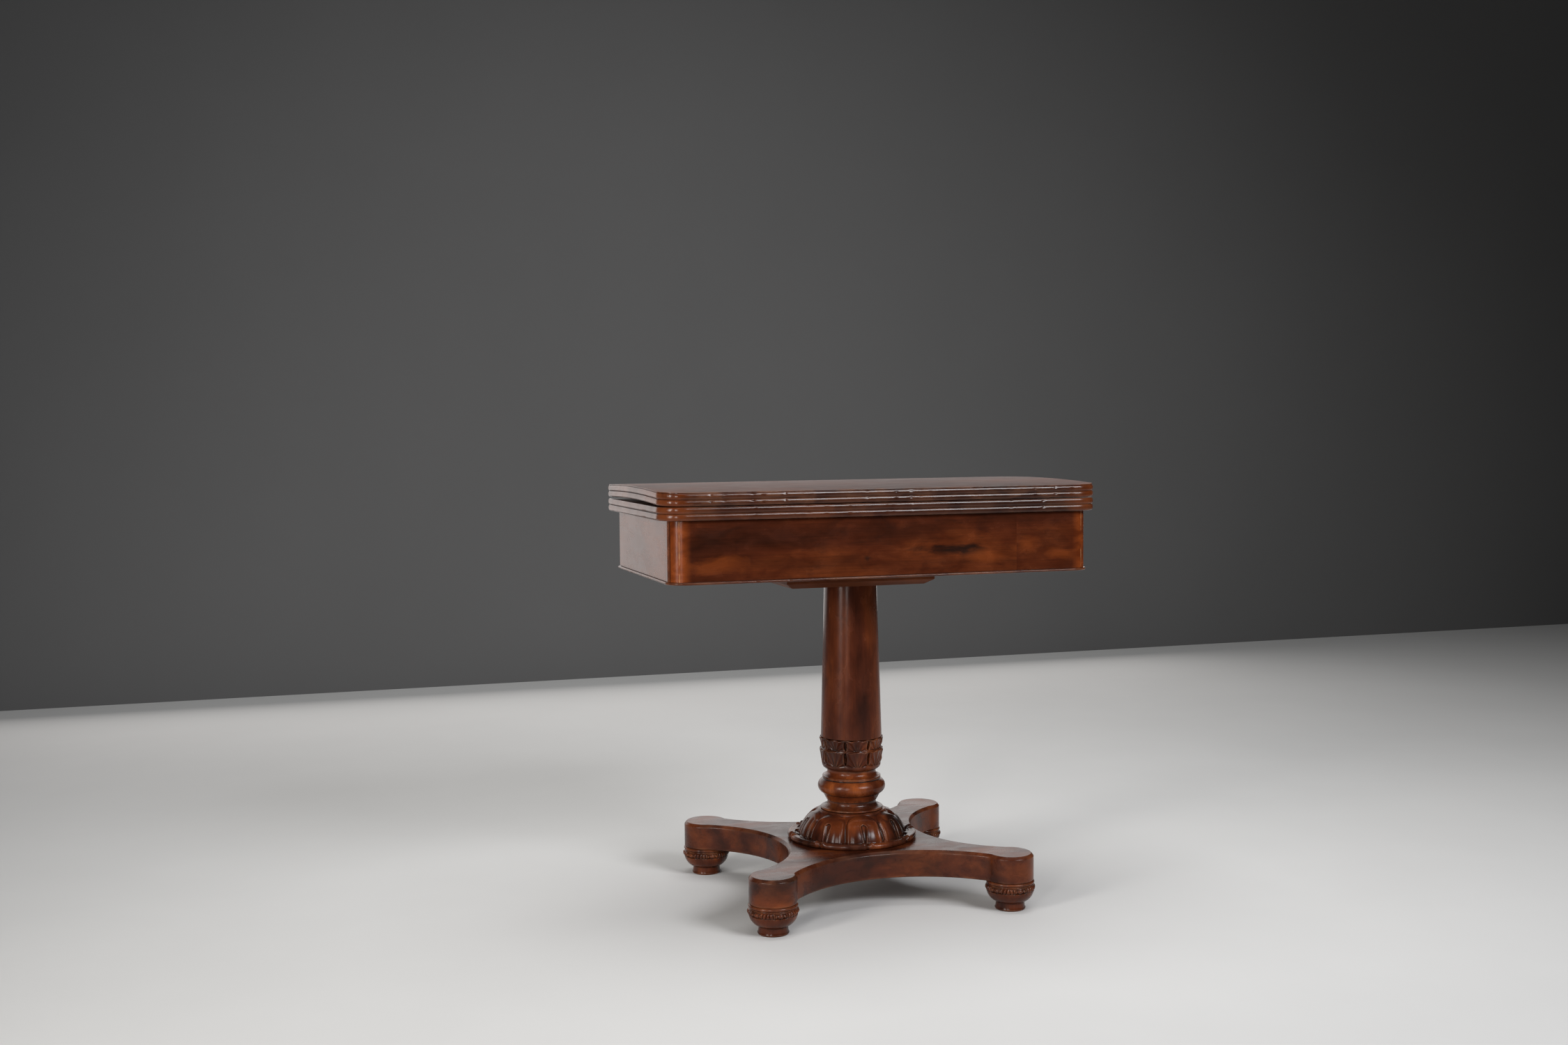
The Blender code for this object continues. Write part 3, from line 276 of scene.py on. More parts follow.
class Shader:
    """A node material built up by calls; each call adds a node and returns one of its outputs."""

    def __init__(self, name):
        self.material = bpy.data.materials.new(name)
        self.material.use_nodes = True
        self.tree = self.material.node_tree
        self.place = self.add("TexCoord", "Object")

    def feed(self, node, inputs):
        for key, value in inputs.items():
            if isinstance(value, bpy.types.NodeSocket):
                self.tree.links.new(value, node.inputs[key])
            else:
                node.inputs[key].default_value = value

    def add(self, kind, output, inputs=None, **settings):
        node = self.tree.nodes.new("ShaderNode" + kind)
        for key, value in settings.items():
            setattr(node, key, value)
        self.feed(node, inputs or {})
        return node.outputs[output]

    def noise(self, scale, shift=(0.0, 0.0, 0.0), detail=2.0, rough=0.5, warp=0.0):
        """Noise with a scale for each axis, in repeats per metre."""
        at = self.add("Mapping", "Vector", {"Vector": self.place, "Scale": scale, "Location": shift})
        inputs = {"Vector": at, "Scale": 1.0, "Detail": detail, "Roughness": rough, "Distortion": warp}
        return self.add("TexNoise", "Fac", inputs)

    def attribute(self, name):
        return self.add("Attribute", "Fac", attribute_name=name)

    def axis(self, vector, axis):
        return self.add("SeparateXYZ", axis, {"Vector": vector})

    def maths(self, operation, a, b=0.0):
        return self.add("Math", "Value", {0: a, 1: b}, operation=operation)

    def distance(self, a, b=0.0):
        return self.maths("ABSOLUTE", self.maths("SUBTRACT", a, b))

    def vectors(self, operation, a, b, output="Vector"):
        return self.add("VectorMath", output, {0: a, 1: b}, operation=operation)

    def spread(self, value, low, high, to_low=0.0, to_high=1.0):
        inputs = {"Value": value, "From Min": low, "From Max": high, "To Min": to_low, "To Max": to_high}
        return self.add("MapRange", "Result", inputs)

    def mix(self, factor, a, b, blend="MIX"):
        rgb = [value if isinstance(value, bpy.types.NodeSocket) else (*value, 1.0) for value in (a, b)]
        return self.add("Mix", 2, {0: factor, 6: rgb[0], 7: rgb[1]}, data_type="RGBA", blend_type=blend)

    def ramp(self, factor, positions, colours):
        node = self.tree.nodes.new("ShaderNodeValToRGB")
        self.feed(node, {"Fac": factor})
        elements = node.color_ramp.elements
        while len(elements) < len(colours):
            elements.new(1.0)
        for element, position, colour in zip(elements, positions, colours):
            element.position = position
            element.color = (*colour, 1.0)
        return node.outputs["Color"]

    def bump(self, height, strength, distance):
        return self.add("Bump", "Normal", {"Height": height, "Strength": strength, "Distance": distance})

    def finish(self, **inputs):
        bsdf = self.tree.nodes["Principled BSDF"]
        self.feed(bsdf, {key.replace("_", " "): value for key, value in inputs.items()})
        return self.material


def along_grain(grain, across, along):
    """A scale that is finer across the grain than along it."""
    scale = [across] * 3
    scale[grain] = along
    return scale


# Dark, middle and light tones of the woods
MAHOGANY_TONES = ((0.017, 0.0048, 0.0024), (0.054, 0.0112, 0.0036), (0.135, 0.0300, 0.0066))
RED_TONES = ((0.020, 0.0058, 0.0034), (0.060, 0.0135, 0.0052), (0.140, 0.0330, 0.0085))
ORANGE_TONES = ((0.050, 0.0110, 0.0042), (0.118, 0.0260, 0.0072), (0.230, 0.0570, 0.0125))
CARVED_TONES = ((0.026, 0.0072, 0.0040), (0.082, 0.0185, 0.0064), (0.210, 0.0500, 0.0110))
TOP_TONES = ((0.013, 0.0041, 0.0025), (0.032, 0.0080, 0.0036), (0.080, 0.0200, 0.0065))
FACE_TONES = ((0.030, 0.0088, 0.0046), (0.056, 0.0148, 0.0066), (0.096, 0.0260, 0.0100))
# The ends' tones are paler than the wood, partly a painted sheen of reflected light
PALE_AND_SHEEN_TONES = ((0.060, 0.0175, 0.0080), (0.105, 0.0310, 0.0130), (0.150, 0.0460, 0.0190))
DOME_TONES = ((0.020, 0.0058, 0.0036), (0.068, 0.0150, 0.0056), (0.190, 0.0440, 0.0100))
# Dark wax, also standing for painted shade in hollows and in some patches
WAX_AND_SHADE = (0.010, 0.0045, 0.003)
WORN = (0.210, 0.092, 0.046)
AMBER = (0.200, 0.0440, 0.0085)

# Textures of the polished wood: repeats per metre across and along the grain
MOTTLE = (44.0, 21.0)
FIBRE = (420.0, 11.0)
PORE = (1500.0, 60.0)
STREAK = (22.0, 2.6)
DIRT = (31.0, 15.0)
CLOUD_SHARE = 0.70                  # of the tone; the mottle has the rest
# Values of a texture between which it comes to show
NOISE_RANGE = (0.3, 0.7)
MOTTLE_RANGE = (0.35, 0.65)
RUB_RANGE = (0.40, 0.62)
STREAK_RANGE = (0.56, 0.80)
DIRT_RANGE = (0.50, 0.68)
PORE_RANGE = (0.64, 0.76)
# A leaf's flat face and its ends: turns of the normal between which they begin, and the ends' shine
FACE_TURN = (0.80, 0.97)
END_TURN = (0.60, 0.90)
END_SHINE = 0.15
# The frieze's corners: where the orange strip fades in and ends, its pale line (a painted highlight with
# rubbed flecks), and their colours
STRIP_FADE = (0.352, 0.368)
STRIP_LINE = 0.3720
STRIP_EDGE = 0.3843
STRIP_TINTS = ((0.095, 0.0185, 0.0046), (0.210, 0.0450, 0.0085))
HIGHLIGHT_AND_WEAR_TINT = (0.520, 0.300, 0.150)
LINE_WIDTH = (0.0004, 0.0011)
SEAM_WIDTH = (0.0002, 0.0007)
EDGE_WIDTH = 0.0006


def with_strip(s, colour, reach, mottle, dirt_and_shade):
    """The orange strip at the frieze's corners, its pale line of painted highlight with rubbed flecks, and
    past a seam the ends' paler tones, partly a painted sheen.
    """
    share = s.spread(mottle, *MOTTLE_RANGE)
    colour = s.mix(s.spread(reach, *STRIP_FADE, 0.0, 0.92), colour, s.mix(share, *STRIP_TINTS))
    # The pale line is a painted highlight on the rounded corner, broken into rubbed flecks
    line = s.spread(s.distance(reach, STRIP_LINE), *LINE_WIDTH, 1.0, 0.0)
    line = s.maths("MULTIPLY", line, s.spread(dirt_and_shade, 0.40, 0.60, 0.50, 0.0))
    colour = s.mix(line, colour, HIGHLIGHT_AND_WEAR_TINT)
    # Past the seam, the end's paler tones, partly a painted sheen
    past = s.spread(reach, STRIP_EDGE, STRIP_EDGE + EDGE_WIDTH, 0.0, 0.95)
    colour = s.mix(past, colour, s.mix(share, PALE_AND_SHEEN_TONES[0], PALE_AND_SHEEN_TONES[2]))
    seam = s.spread(s.distance(reach, STRIP_EDGE), *SEAM_WIDTH, 0.8, 0.0)
    return s.mix(seam, colour, WAX_AND_SHADE)


def with_marks(s, colour, spot, marks, dirt_and_shade):
    """Ragged patches of colour, each with its centre, half size, strength and colour."""
    for at, size, strength, stain in marks:
        offset = s.vectors("DIVIDE", s.vectors("SUBTRACT", spot, at), size)
        reach = s.vectors("LENGTH", offset, (0.0, 0.0, 0.0), "Value")
        reach = s.maths("ADD", reach, s.spread(dirt_and_shade, *NOISE_RANGE, 0.55, -0.55))
        colour = s.mix(s.spread(reach, 0.25, 1.05, strength, 0.0), colour, stain)
    return colour


def polished_wood(name, tones, grain, seed, figure, rough, contrast=0.20, joint=None, marks=(),
                  strip=False, face=None, grime=0.40, shine=0.16):
    """French-polished mahogany: cloudy figure, dark streaks, fibres, pores, rubbed edges, and wax with
    painted shade in hollows.

    The figure jumps at a joint. A face's number is how much duller a leaf's flat face is.
    """
    s = Shader(name)
    spot = s.place
    if joint is not None:
        side = s.maths("GREATER_THAN", s.axis(spot, "X"), joint)
        s.place = s.vectors("ADD", spot, s.add("CombineXYZ", "Vector", {"Z": side}))
    cloud = s.noise(along_grain(grain, *figure), (seed, seed * 0.7, seed * 0.3), 2.0, 0.45, 0.5)
    mottle = s.noise(along_grain(grain, *MOTTLE), (seed, 0.0, 0.0), 3.0, 0.55, 0.4)
    fibre = s.noise(along_grain(grain, *FIBRE), (seed, 0.0, seed), 3.0, 0.6)
    pore = s.noise(along_grain(grain, *PORE), detail=1.0)
    streak = s.noise(along_grain(grain, *STREAK), (seed * 2.0, seed, 0.0), 2.0, 0.5, 0.4)
    dirt_and_shade = s.noise(along_grain(grain, *DIRT), (seed, seed * 3.0, 0.0), 5.0, 0.62, 0.7)
    tone = s.maths("MULTIPLY", cloud, CLOUD_SHARE)
    tone = s.maths("ADD", tone, s.maths("MULTIPLY", mottle, 1 - CLOUD_SHARE))
    stops = (0.50 - contrast, 0.50, 0.50 + contrast)
    colour = s.ramp(tone, stops, tones)
    gloss = s.spread(mottle, *NOISE_RANGE, *rough)
    if face is not None:
        normal = s.add("TexCoord", "Normal")
        upward = s.axis(normal, "Z")
        sideways = s.maths("ABSOLUTE", s.axis(normal, "X"))
        # The ends turned sideways take paler tones, partly a painted sheen
        colour = s.mix(s.spread(sideways, *END_TURN), colour, s.ramp(tone, stops, PALE_AND_SHEEN_TONES))
        colour = s.mix(s.spread(upward, *FACE_TURN), colour, s.ramp(tone, stops, FACE_TONES))
        gloss = s.maths("ADD", gloss, s.spread(upward, *FACE_TURN, 0.0, face))
        shine = s.spread(sideways, *END_TURN, shine, END_SHINE)
    colour = s.mix(1.0, colour, s.spread(fibre, *NOISE_RANGE, 0.82, 1.14), "MULTIPLY")
    colour = s.mix(s.spread(streak, *STREAK_RANGE, 0.0, 0.5), colour, tones[0])
    colour = s.mix(s.spread(dirt_and_shade, *DIRT_RANGE, 0.0, grime), colour, tones[0])
    if strip:
        colour = with_strip(s, colour, s.maths("ABSOLUTE", s.axis(spot, "X")), mottle, dirt_and_shade)
    colour = with_marks(s, colour, spot, marks, dirt_and_shade)
    colour = s.mix(s.spread(pore, *PORE_RANGE, 0.0, 0.4), colour, WAX_AND_SHADE)
    rubbed = s.maths("MULTIPLY", s.attribute("ridge"), s.spread(mottle, *RUB_RANGE, 0.05, 0.55))
    colour = s.mix(rubbed, colour, WORN)
    # Hollows darken with wax, and with painted shade in grooves and creases
    colour = s.mix(s.spread(s.attribute("hollow"), 0.1, 0.8, 0.0, 0.9), colour, WAX_AND_SHADE)
    height = s.maths("SUBTRACT", s.maths("MULTIPLY", fibre, 0.5), s.maths("MULTIPLY", pore, 0.3))
    return s.finish(Base_Color=colour, Roughness=gloss, Normal=s.bump(height, 0.10, 0.0004),
                    Specular_IOR_Level=shine, Coat_Weight=0.06, Coat_Roughness=0.16)


def bare_wood():
    """Plain unpolished softwood inside the frieze."""
    s = Shader("carcass_wood")
    ring = s.noise(along_grain(0, 70.0, 2.5), detail=3.0, warp=0.6)
    fibre = s.noise(along_grain(0, 700.0, 18.0))
    stain = s.noise((9.0, 9.0, 9.0), detail=4.0, rough=0.6)
    rings = ((0.36, 0.21, 0.10), (0.27, 0.145, 0.062), (0.17, 0.085, 0.035))
    colour = s.ramp(ring, (0.35, 0.55, 0.66), rings)
    colour = s.mix(1.0, colour, s.spread(fibre, *NOISE_RANGE, 0.80, 1.10), "MULTIPLY")
    colour = s.mix(s.spread(stain, 0.5, 0.75, 0.0, 0.6), colour, (0.10, 0.055, 0.028))
    return s.finish(Base_Color=colour, Roughness=s.spread(stain, *NOISE_RANGE, 0.60, 0.75),
                    Normal=s.bump(fibre, 0.35, 0.0006))


def old_metal(name, bright, dull, rough):
    """Metal with a patchy tarnish."""
    s = Shader(name)
    patch = s.noise((90.0, 90.0, 90.0), detail=5.0, rough=0.65)
    scratch = s.noise((160.0, 1800.0, 1800.0))
    colour = s.mix(s.spread(patch, 0.38, 0.62), bright, dull)
    colour = s.mix(s.spread(s.attribute("hollow"), 0.1, 0.9, 0.0, 0.8), colour, WAX_AND_SHADE)
    return s.finish(Base_Color=colour, Roughness=s.spread(patch, *MOTTLE_RANGE, *rough), Metallic=1.0,
                    Normal=s.bump(s.maths("ADD", patch, scratch), 0.10, 0.0004))


def baize_cloth():
    """Green wool baize, thinned and faded in patches."""
    s = Shader("baize")
    fuzz = s.noise((1400.0, 1400.0, 1400.0), detail=3.0, rough=0.7)
    fade = s.noise((7.0, 9.0, 7.0), detail=4.0, rough=0.6, warp=0.6)
    colour = s.ramp(fuzz, NOISE_RANGE, ((0.016, 0.060, 0.030), (0.050, 0.150, 0.078)))
    colour = s.mix(s.spread(fade, 0.5, 0.75, 0.0, 0.45), colour, (0.105, 0.150, 0.075))
    return s.finish(Base_Color=colour, Roughness=0.95, Normal=s.bump(fuzz, 0.5, 0.0005), Sheen_Weight=0.12)


def stage_paint(name, colour, rough):
    s = Shader(name)
    tint = s.noise((0.9, 0.9, 0.9), detail=4.0, rough=0.6)
    colour = s.mix(1.0, colour, s.spread(tint, *NOISE_RANGE, 0.97, 1.03), "MULTIPLY")
    return s.finish(Base_Color=colour, Roughness=rough, Specular_IOR_Level=0.10)


# Meshes


def arc(centre, radii, start, end, steps=MOULDING_STEPS):
    """Points of an elliptical arc, from one angle to another in degrees."""
    points = []
    for i in range(steps + 1):
        angle = math.radians(start + (end - start) * i / steps)
        points.append((centre[0] + radii[0] * math.cos(angle), centre[1] + radii[1] * math.sin(angle)))
    return points


def soften(points, radius=SOFT, steps=3, closed=False):
    """Round the sharp corners of a section."""
    made = []
    count = len(points)
    for i, point in enumerate(points):
        here = Vector(point)
        back = Vector(points[i - 1]) - here
        ahead = Vector(points[(i + 1) % count]) - here
        shorter = min(back.length, ahead.length)
        at_end = not closed and i in (0, count - 1)
        if at_end or shorter < 1e-7 or math.pi - back.angle(ahead) < SHARP_TURN:
            made.append(tuple(here))
            continue
        reach = min(radius, 0.45 * shorter)
        first = here + back.normalized() * reach
        last = here + ahead.normalized() * reach
        for k in range(steps + 1):
            t = k / steps
            made.append(tuple(first * (1 - t) ** 2 + here * 2 * t * (1 - t) + last * t ** 2))
    return made


def bowed(start, end, crown, steps):
    """Points of a line down a section that swells outward by a crown at its middle."""
    start = Vector(start)
    fall = Vector(end) - start
    outward = Vector((-fall.y, fall.x)).normalized()
    points = []
    for i in range(steps + 1):
        t = i / steps
        points.append(tuple(start + fall * t + outward * 4 * crown * t * (1 - t)))
    return points


def fill_in(points, longest):
    """Divide the long lines of a section."""
    made = [points[0]]
    for first, last in zip(points, points[1:]):
        parts = max(1, math.ceil(math.dist(first, last) / longest))
        for k in range(1, parts + 1):
            made.append(tuple(a + (b - a) * k / parts for a, b in zip(first, last)))
    return made


def wrap(angle, count):
    """Angle from the nearest of a count of evenly spaced lines, in shares of half their spacing."""
    return ((angle * count / (2 * math.pi) + 0.5) % 1.0 - 0.5) * 2


def smooth(x):
    """A soft step from 0 to 1."""
    x = max(0.0, min(1.0, x))
    return x * x * (3 - 2 * x)


def hump(x, width):
    return math.exp(-(x / width) ** 2)


def egg(x, y):
    """Height of a round boss that ends at a distance of 1."""
    return math.sqrt(max(0.0, 1 - (x ** 2 + y ** 2)))


def clean(bm, name):
    bmesh.ops.recalc_face_normals(bm, faces=bm.faces)
    mesh = bpy.data.meshes.new(name)
    bm.to_mesh(mesh)
    bm.free()
    return mesh


def skin(name, rings, bore=False, strips=0):
    """A closed skin through rings of equal point counts, closed through its bore or capped.

    A cap starts with a number of strips that join the points next to the ring's start and end.
    """
    bm = bmesh.new()
    loops = [[bm.verts.new(point) for point in ring] for ring in rings]
    bands = list(zip(loops, loops[1:]))
    if bore:
        bands.append((loops[-1], loops[0]))
    else:
        for loop in (loops[0], loops[-1]):
            end = len(loop) - 1
            for i in range(strips):
                bm.faces.new((loop[i], loop[i + 1], loop[end - 1 - i], loop[end - i]))
            rest = loop[strips:end + 1 - strips]
            if len(rest) > 2:
                bm.faces.new(rest)
    for first, second in bands:
        for i in range(len(first)):
            bm.faces.new((first[i - 1], first[i], second[i], second[i - 1]))
    return clean(bm, name)


def revolve(name, section, at, steps=ROUND_STEPS, bore=False, shape=None):
    """A turned form from (radius, height) points; shape(radius, height, angle) carves it."""
    rings = []
    for radius, height in section:
        ring = []
        for i in range(steps):
            angle = 2 * math.pi * i / steps
            r, z = shape(radius, height, angle) if shape else (radius, height)
            ring.append((at[0] + r * math.cos(angle), at[1] + r * math.sin(angle), at[2] + z))
        rings.append(ring)
    return skin(name, rings, bore)


def box_mesh(name, low, high, ease=0.0):
    bm = bmesh.new()
    bmesh.ops.create_cube(bm, size=1.0)
    low, high = Vector(low), Vector(high)
    bmesh.ops.scale(bm, vec=high - low, verts=bm.verts)
    bmesh.ops.translate(bm, vec=(low + high) / 2, verts=bm.verts)
    if ease:
        bmesh.ops.bevel(bm, geom=bm.edges[:], offset=ease, segments=3, profile=0.5, affect="EDGES")
    return clean(bm, name)


def rod_mesh(name, radius, low, high, steps=48):
    """A cylinder between two points."""
    low, high = Vector(low), Vector(high)
    turn = (high - low).to_track_quat("Z", "Y").to_matrix().to_4x4()
    bm = bmesh.new()
    bmesh.ops.create_cone(bm, cap_ends=True, segments=steps, radius1=radius, radius2=radius,
                          depth=(high - low).length, matrix=Matrix.Translation((low + high) / 2) @ turn)
    return clean(bm, name)


def hole_mesh(radius, x, y, low, high):
    """An upright hole for a round piece."""
    return rod_mesh("hole", radius + FIT, (x, y, low), (x, y, high))


def joined(name, meshes):
    bm = bmesh.new()
    for mesh in meshes:
        bm.from_mesh(mesh)
        bpy.data.meshes.remove(mesh)
    return clean(bm, name)


def carve(mesh, cutters):
    """Take the cutters' volume out of a mesh."""
    tools = bpy.data.collections.new("tools")
    bpy.context.scene.collection.children.link(tools)
    for cutter in cutters:
        tools.objects.link(bpy.data.objects.new("tool", cutter))
    block = add_object("block", mesh)
    boolean = block.modifiers.new("Cut", "BOOLEAN")
    boolean.operation = "DIFFERENCE"
    boolean.solver = "EXACT"
    boolean.operand_type = "COLLECTION"
    boolean.collection = tools
    bpy.context.view_layer.update()
    made = bpy.data.meshes.new_from_object(block.evaluated_get(bpy.context.evaluated_depsgraph_get()))
    for obj in list(tools.objects) + [block]:
        old = obj.data
        bpy.data.objects.remove(obj)
        bpy.data.meshes.remove(old)
    bpy.data.collections.remove(tools)
    return made


def values_of(items, key, kind, width=1):
    """One value, or one row of values, from each item of a mesh."""
    values = np.empty(len(items) * width, kind)
    items.foreach_get(key, values)
    return values.reshape(-1, width) if width > 1 else values


def mark_wear_and_shade(mesh):
    """Store as attributes how much each small face's corners stand out (ridge) or lie in (hollow, for wax and
    painted shade).
    """
    count = len(mesh.vertices)
    co = values_of(mesh.vertices, "co", np.float32, 3)
    normal = values_of(mesh.vertices, "normal", np.float32, 3)
    a, b = values_of(mesh.edges, "vertices", np.int32, 2).T
    step = co[b] - co[a]
    square = np.maximum((step ** 2).sum(1), 1e-9)
    bend = np.zeros((2, count))
    for start, toward in ((a, step), (b, -step)):
        rise = 2 * (toward * normal[start]).sum(1) / square
        np.maximum.at(bend[0], start, -rise)
        np.maximum.at(bend[1], start, rise)
    bend = np.clip(bend / np.array([[RIDGE_CURVE], [HOLLOW_CURVE]]), 0, 1)
    for _ in range(2):
        total = bend.copy()
        share = np.ones(count)
        for start, end in ((a, b), (b, a)):
            for k in range(2):
                np.add.at(total[k], start, bend[k][end])
            np.add.at(share, start, 1)
        bend = total / share
    vertex = values_of(mesh.loops, "vertex_index", np.int32)
    edge = values_of(mesh.loops, "edge_index", np.int32)
    starts = values_of(mesh.polygons, "loop_start", np.int32)
    longest = np.maximum.reduceat(np.sqrt(square)[edge], starts)
    small = np.repeat(longest < WEAR_AND_SHADE_FACE, np.diff(np.append(starts, len(mesh.loops))))
    for name, values in zip(("ridge", "hollow"), bend):
        layer = mesh.attributes.new(name, "FLOAT", "CORNER")
        layer.data.foreach_set("value", (values[vertex] * small).astype(np.float32))


def add_piece(name, mesh, slot, material, *nodes, body="base", sharp=34):
    """Put a mesh into the table in place of its solids; edges sharper than some degrees stay sharp."""
    mesh.shade_smooth()
    mesh.set_sharp_from_angle(angle=math.radians(sharp))
    mark_wear_and_shade(mesh)
    mesh.materials.clear()
    mesh.materials.append(material)
    obj = add_object(name, mesh)
    weighted = obj.modifiers.new("Weighted normals", "WEIGHTED_NORMAL")
    weighted.keep_sharp = True
    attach(obj, body)
    if nodes:
        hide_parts(*nodes)
    return obj


# Base


def platform_corner(inset):
    """Front right quarter of the platform's outline, from the front hollow to the right one."""
    diagonal = math.hypot(FOOT_X, FOOT_Y)
    arm_half = LOBE_RADIUS - LOBE_STEP
    lobe = Vector((FOOT_X, -FOOT_Y))
    lobe_radius = LOBE_RADIUS - inset
    sides = []
    angles = []
    for share, outward in ((FOOT_X / diagonal, Vector((0, -1))), (FOOT_Y / diagonal, Vector((1, 0)))):
        hollow = (WAIST * share - arm_half) / (1 - share)
        centre = outward * (WAIST + hollow)
        radius = hollow + inset
        to_lobe = lobe - centre
        along = (radius ** 2 - lobe_radius ** 2 + to_lobe.length_squared) / (2 * to_lobe.length)
        swing = math.acos(along / radius)
        bearing = math.atan2(to_lobe.y, to_lobe.x)
        middle = math.atan2(-outward.y, -outward.x)
        turn = math.remainder(bearing - middle, 2 * math.pi)
        meet = middle + turn - math.copysign(swing, turn)
        side = arc(centre, (radius, radius), math.degrees(middle), math.degrees(meet), 40)
        sides.append(side)
        angles.append(math.atan2(side[-1][1] - lobe.y, side[-1][0] - lobe.x))
    start, end = angles
    stop = start + (end - start) % (2 * math.pi)
    round_end = arc(lobe, (lobe_radius, lobe_radius), math.degrees(start), math.degrees(stop), 56)
    return sides[0][:-1] + round_end + sides[1][-2::-1]


def platform_outline(inset):
    corner = platform_corner(inset)
    right = corner[:-1] + [(x, -y) for x, y in reversed(corner[1:])]
    return right + [(-x, -y) for x, y in right]


def build_platform():
    """Platform with a soft chamfer, bored for the column's spigot and the feet's dowels."""
    edge = PLATFORM_HIGH - CHAMFER_DROP
    section = [(PLATFORM_EASE, PLATFORM_LOW), (0, PLATFORM_LOW + PLATFORM_EASE), (0, PLATFORM_LOW + 0.0040),
               (0, edge - 0.0030), (0, edge), (PLATFORM_CHAMFER, PLATFORM_HIGH),
               (PLATFORM_CHAMFER + 0.004, PLATFORM_HIGH)]
    section = soften(section, 0.0010, 4)[:-1]
    mesh = skin("platform", [[(x, y, z) for x, y in platform_outline(inset)] for inset, z in section])
    under = PLATFORM_LOW - PROUD
    holes = [hole_mesh(TENON_RADIUS, 0, 0, under, PLATFORM_HIGH + PROUD)]
    for _, sx, sy in CORNERS:
        holes.append(hole_mesh(DOWEL_RADIUS, sx * FOOT_X, sy * FOOT_Y, under, DOWEL_TOP + FIT))
    stains = (((-0.225, -0.245, PLATFORM_HIGH - 0.012), (0.060, 0.040, 0.030), 0.60, WAX_AND_SHADE),
              ((-0.245, -0.235, PLATFORM_LOW + 0.008), (0.040, 0.040, 0.016), 0.35, AMBER),
              ((0.070, -0.140, PLATFORM_HIGH - 0.015), (0.090, 0.050, 0.040), 0.40, WAX_AND_SHADE),
              ((-0.020, -0.134, PLATFORM_HIGH - 0.020), (0.012, 0.030, 0.030), 0.50, WAX_AND_SHADE),
              ((0.235, -0.240, PLATFORM_LOW + 0.018), (0.040, 0.040, 0.022), 0.35, AMBER))
    wood = polished_wood("platform_wood", RED_TONES, grain=0, seed=3.1, figure=(13.0, 6.0),
                         rough=(0.22, 0.36), contrast=0.15, marks=stains, grime=0.55, shine=0.19)
    add_piece("platform", carve(mesh, holes), "mahogany", wood, "base_platform")


# Carving of the feet: widths are shares of half a cluster, heights shares of the band
LEAF_CLUSTERS = 6
LEAF_RELIEF = 0.0026
LEAVES_END = 0.56
LEAF_PITCH = 0.28
LEAF_LEAN = 0.10
LEAF_SPLIT = 0.35
SPLIT_WIDE = 0.03
BERRY_END = 0.74
BERRY_AT = 0.65
BERRY_SIZE = (0.085, 0.30)
OVAL_SIZE = (0.24, 0.42)
OVAL_RELIEF = 0.85


def foot_section():
    """Foot from its dowel down to the floor."""
    ring_low = FOOT_TOP - FOOT_RING
    band_low = ring_low - FOOT_BAND
    ankle_top = TOE_HEIGHT + ANKLE_HEIGHT
    bead = FOOT_RING * 0.36
    small = FOOT_RING * 0.13
    half = FOOT_BAND / 2
    flare = (TOE_RADIUS - ANKLE_RADIUS, ankle_top - TOE_ROLL)
    section = [(DOWEL_RADIUS, DOWEL_TOP), (DOWEL_RADIUS, FOOT_TOP), (FOOT_RING_RADIUS - bead, FOOT_TOP)]
    section += arc((FOOT_RING_RADIUS - bead, FOOT_TOP - bead), (bead, bead), 80, -75, 10)
    section += arc((FOOT_RING_RADIUS - bead * 0.8, ring_low + small), (small, small), 70, -70, 5)
    section += arc((BUN_RADIUS - BAND_SWELL, band_low + half), (BAND_SWELL, half), 78, -62, 16)
    section += bowed((BOWL_RADIUS, band_low), (ANKLE_RADIUS + NECK_STEP, ankle_top), BOWL_CROWN, 24)
    section += arc((TOE_RADIUS, ankle_top), flare, 180, 262, 12)
    section += arc((TOE_RADIUS - TOE_ROLL, TOE_ROLL), (TOE_ROLL, TOE_ROLL), 20, -90, 8)
    return section


def foot_carving(radius, height, angle):
    """Clusters of small split leaves on the foot's band, with a berry and a smooth oval between them."""
    band_low = FOOT_TOP - FOOT_RING - FOOT_BAND
    t = (height - band_low + 0.0012) / (FOOT_BAND + 0.0008)
    if not 0 < t < 1 or radius < BOWL_RADIUS * 0.97:
        return radius, height
    across = abs(wrap(angle, LEAF_CLUSTERS))
    if across < LEAVES_END:
        lean = across + LEAF_LEAN * (t - 0.5)
        leaf = abs(math.cos(math.pi * lean / LEAF_PITCH))
        split = LEAF_SPLIT * hump((lean % LEAF_PITCH) - LEAF_PITCH / 2, SPLIT_WIDE) * smooth(2 * t)
        relief = 0.25 + 0.75 * leaf ** 0.6 - split
    elif across < BERRY_END:
        relief = egg((across - BERRY_AT) / BERRY_SIZE[0], (t - 0.5) / BERRY_SIZE[1])
    else:
        relief = OVAL_RELIEF * egg((1 - across) / OVAL_SIZE[0], (t - 0.5) / OVAL_SIZE[1])
    fade = min(1.0, 7 * t * (1 - t))
    return radius - LEAF_RELIEF * fade * (1 - relief), height


def build_feet():
    section = fill_in(soften(foot_section(), 0.0004), 0.0008)
    for number, (corner, sx, sy) in enumerate(CORNERS):
        mesh = revolve("foot", section, (sx * FOOT_X, sy * FOOT_Y, 0), FOOT_STEPS, shape=foot_carving)
        wood = polished_wood("foot_wood_" + corner, CARVED_TONES, grain=2, seed=5.3 + 2.9 * number,
                             figure=(19.0, 11.0), rough=(0.16, 0.27), grime=0.55)
        add_piece("turned_foot_" + corner, mesh, "carved_mahogany", wood, "foot_" + corner)


# Column

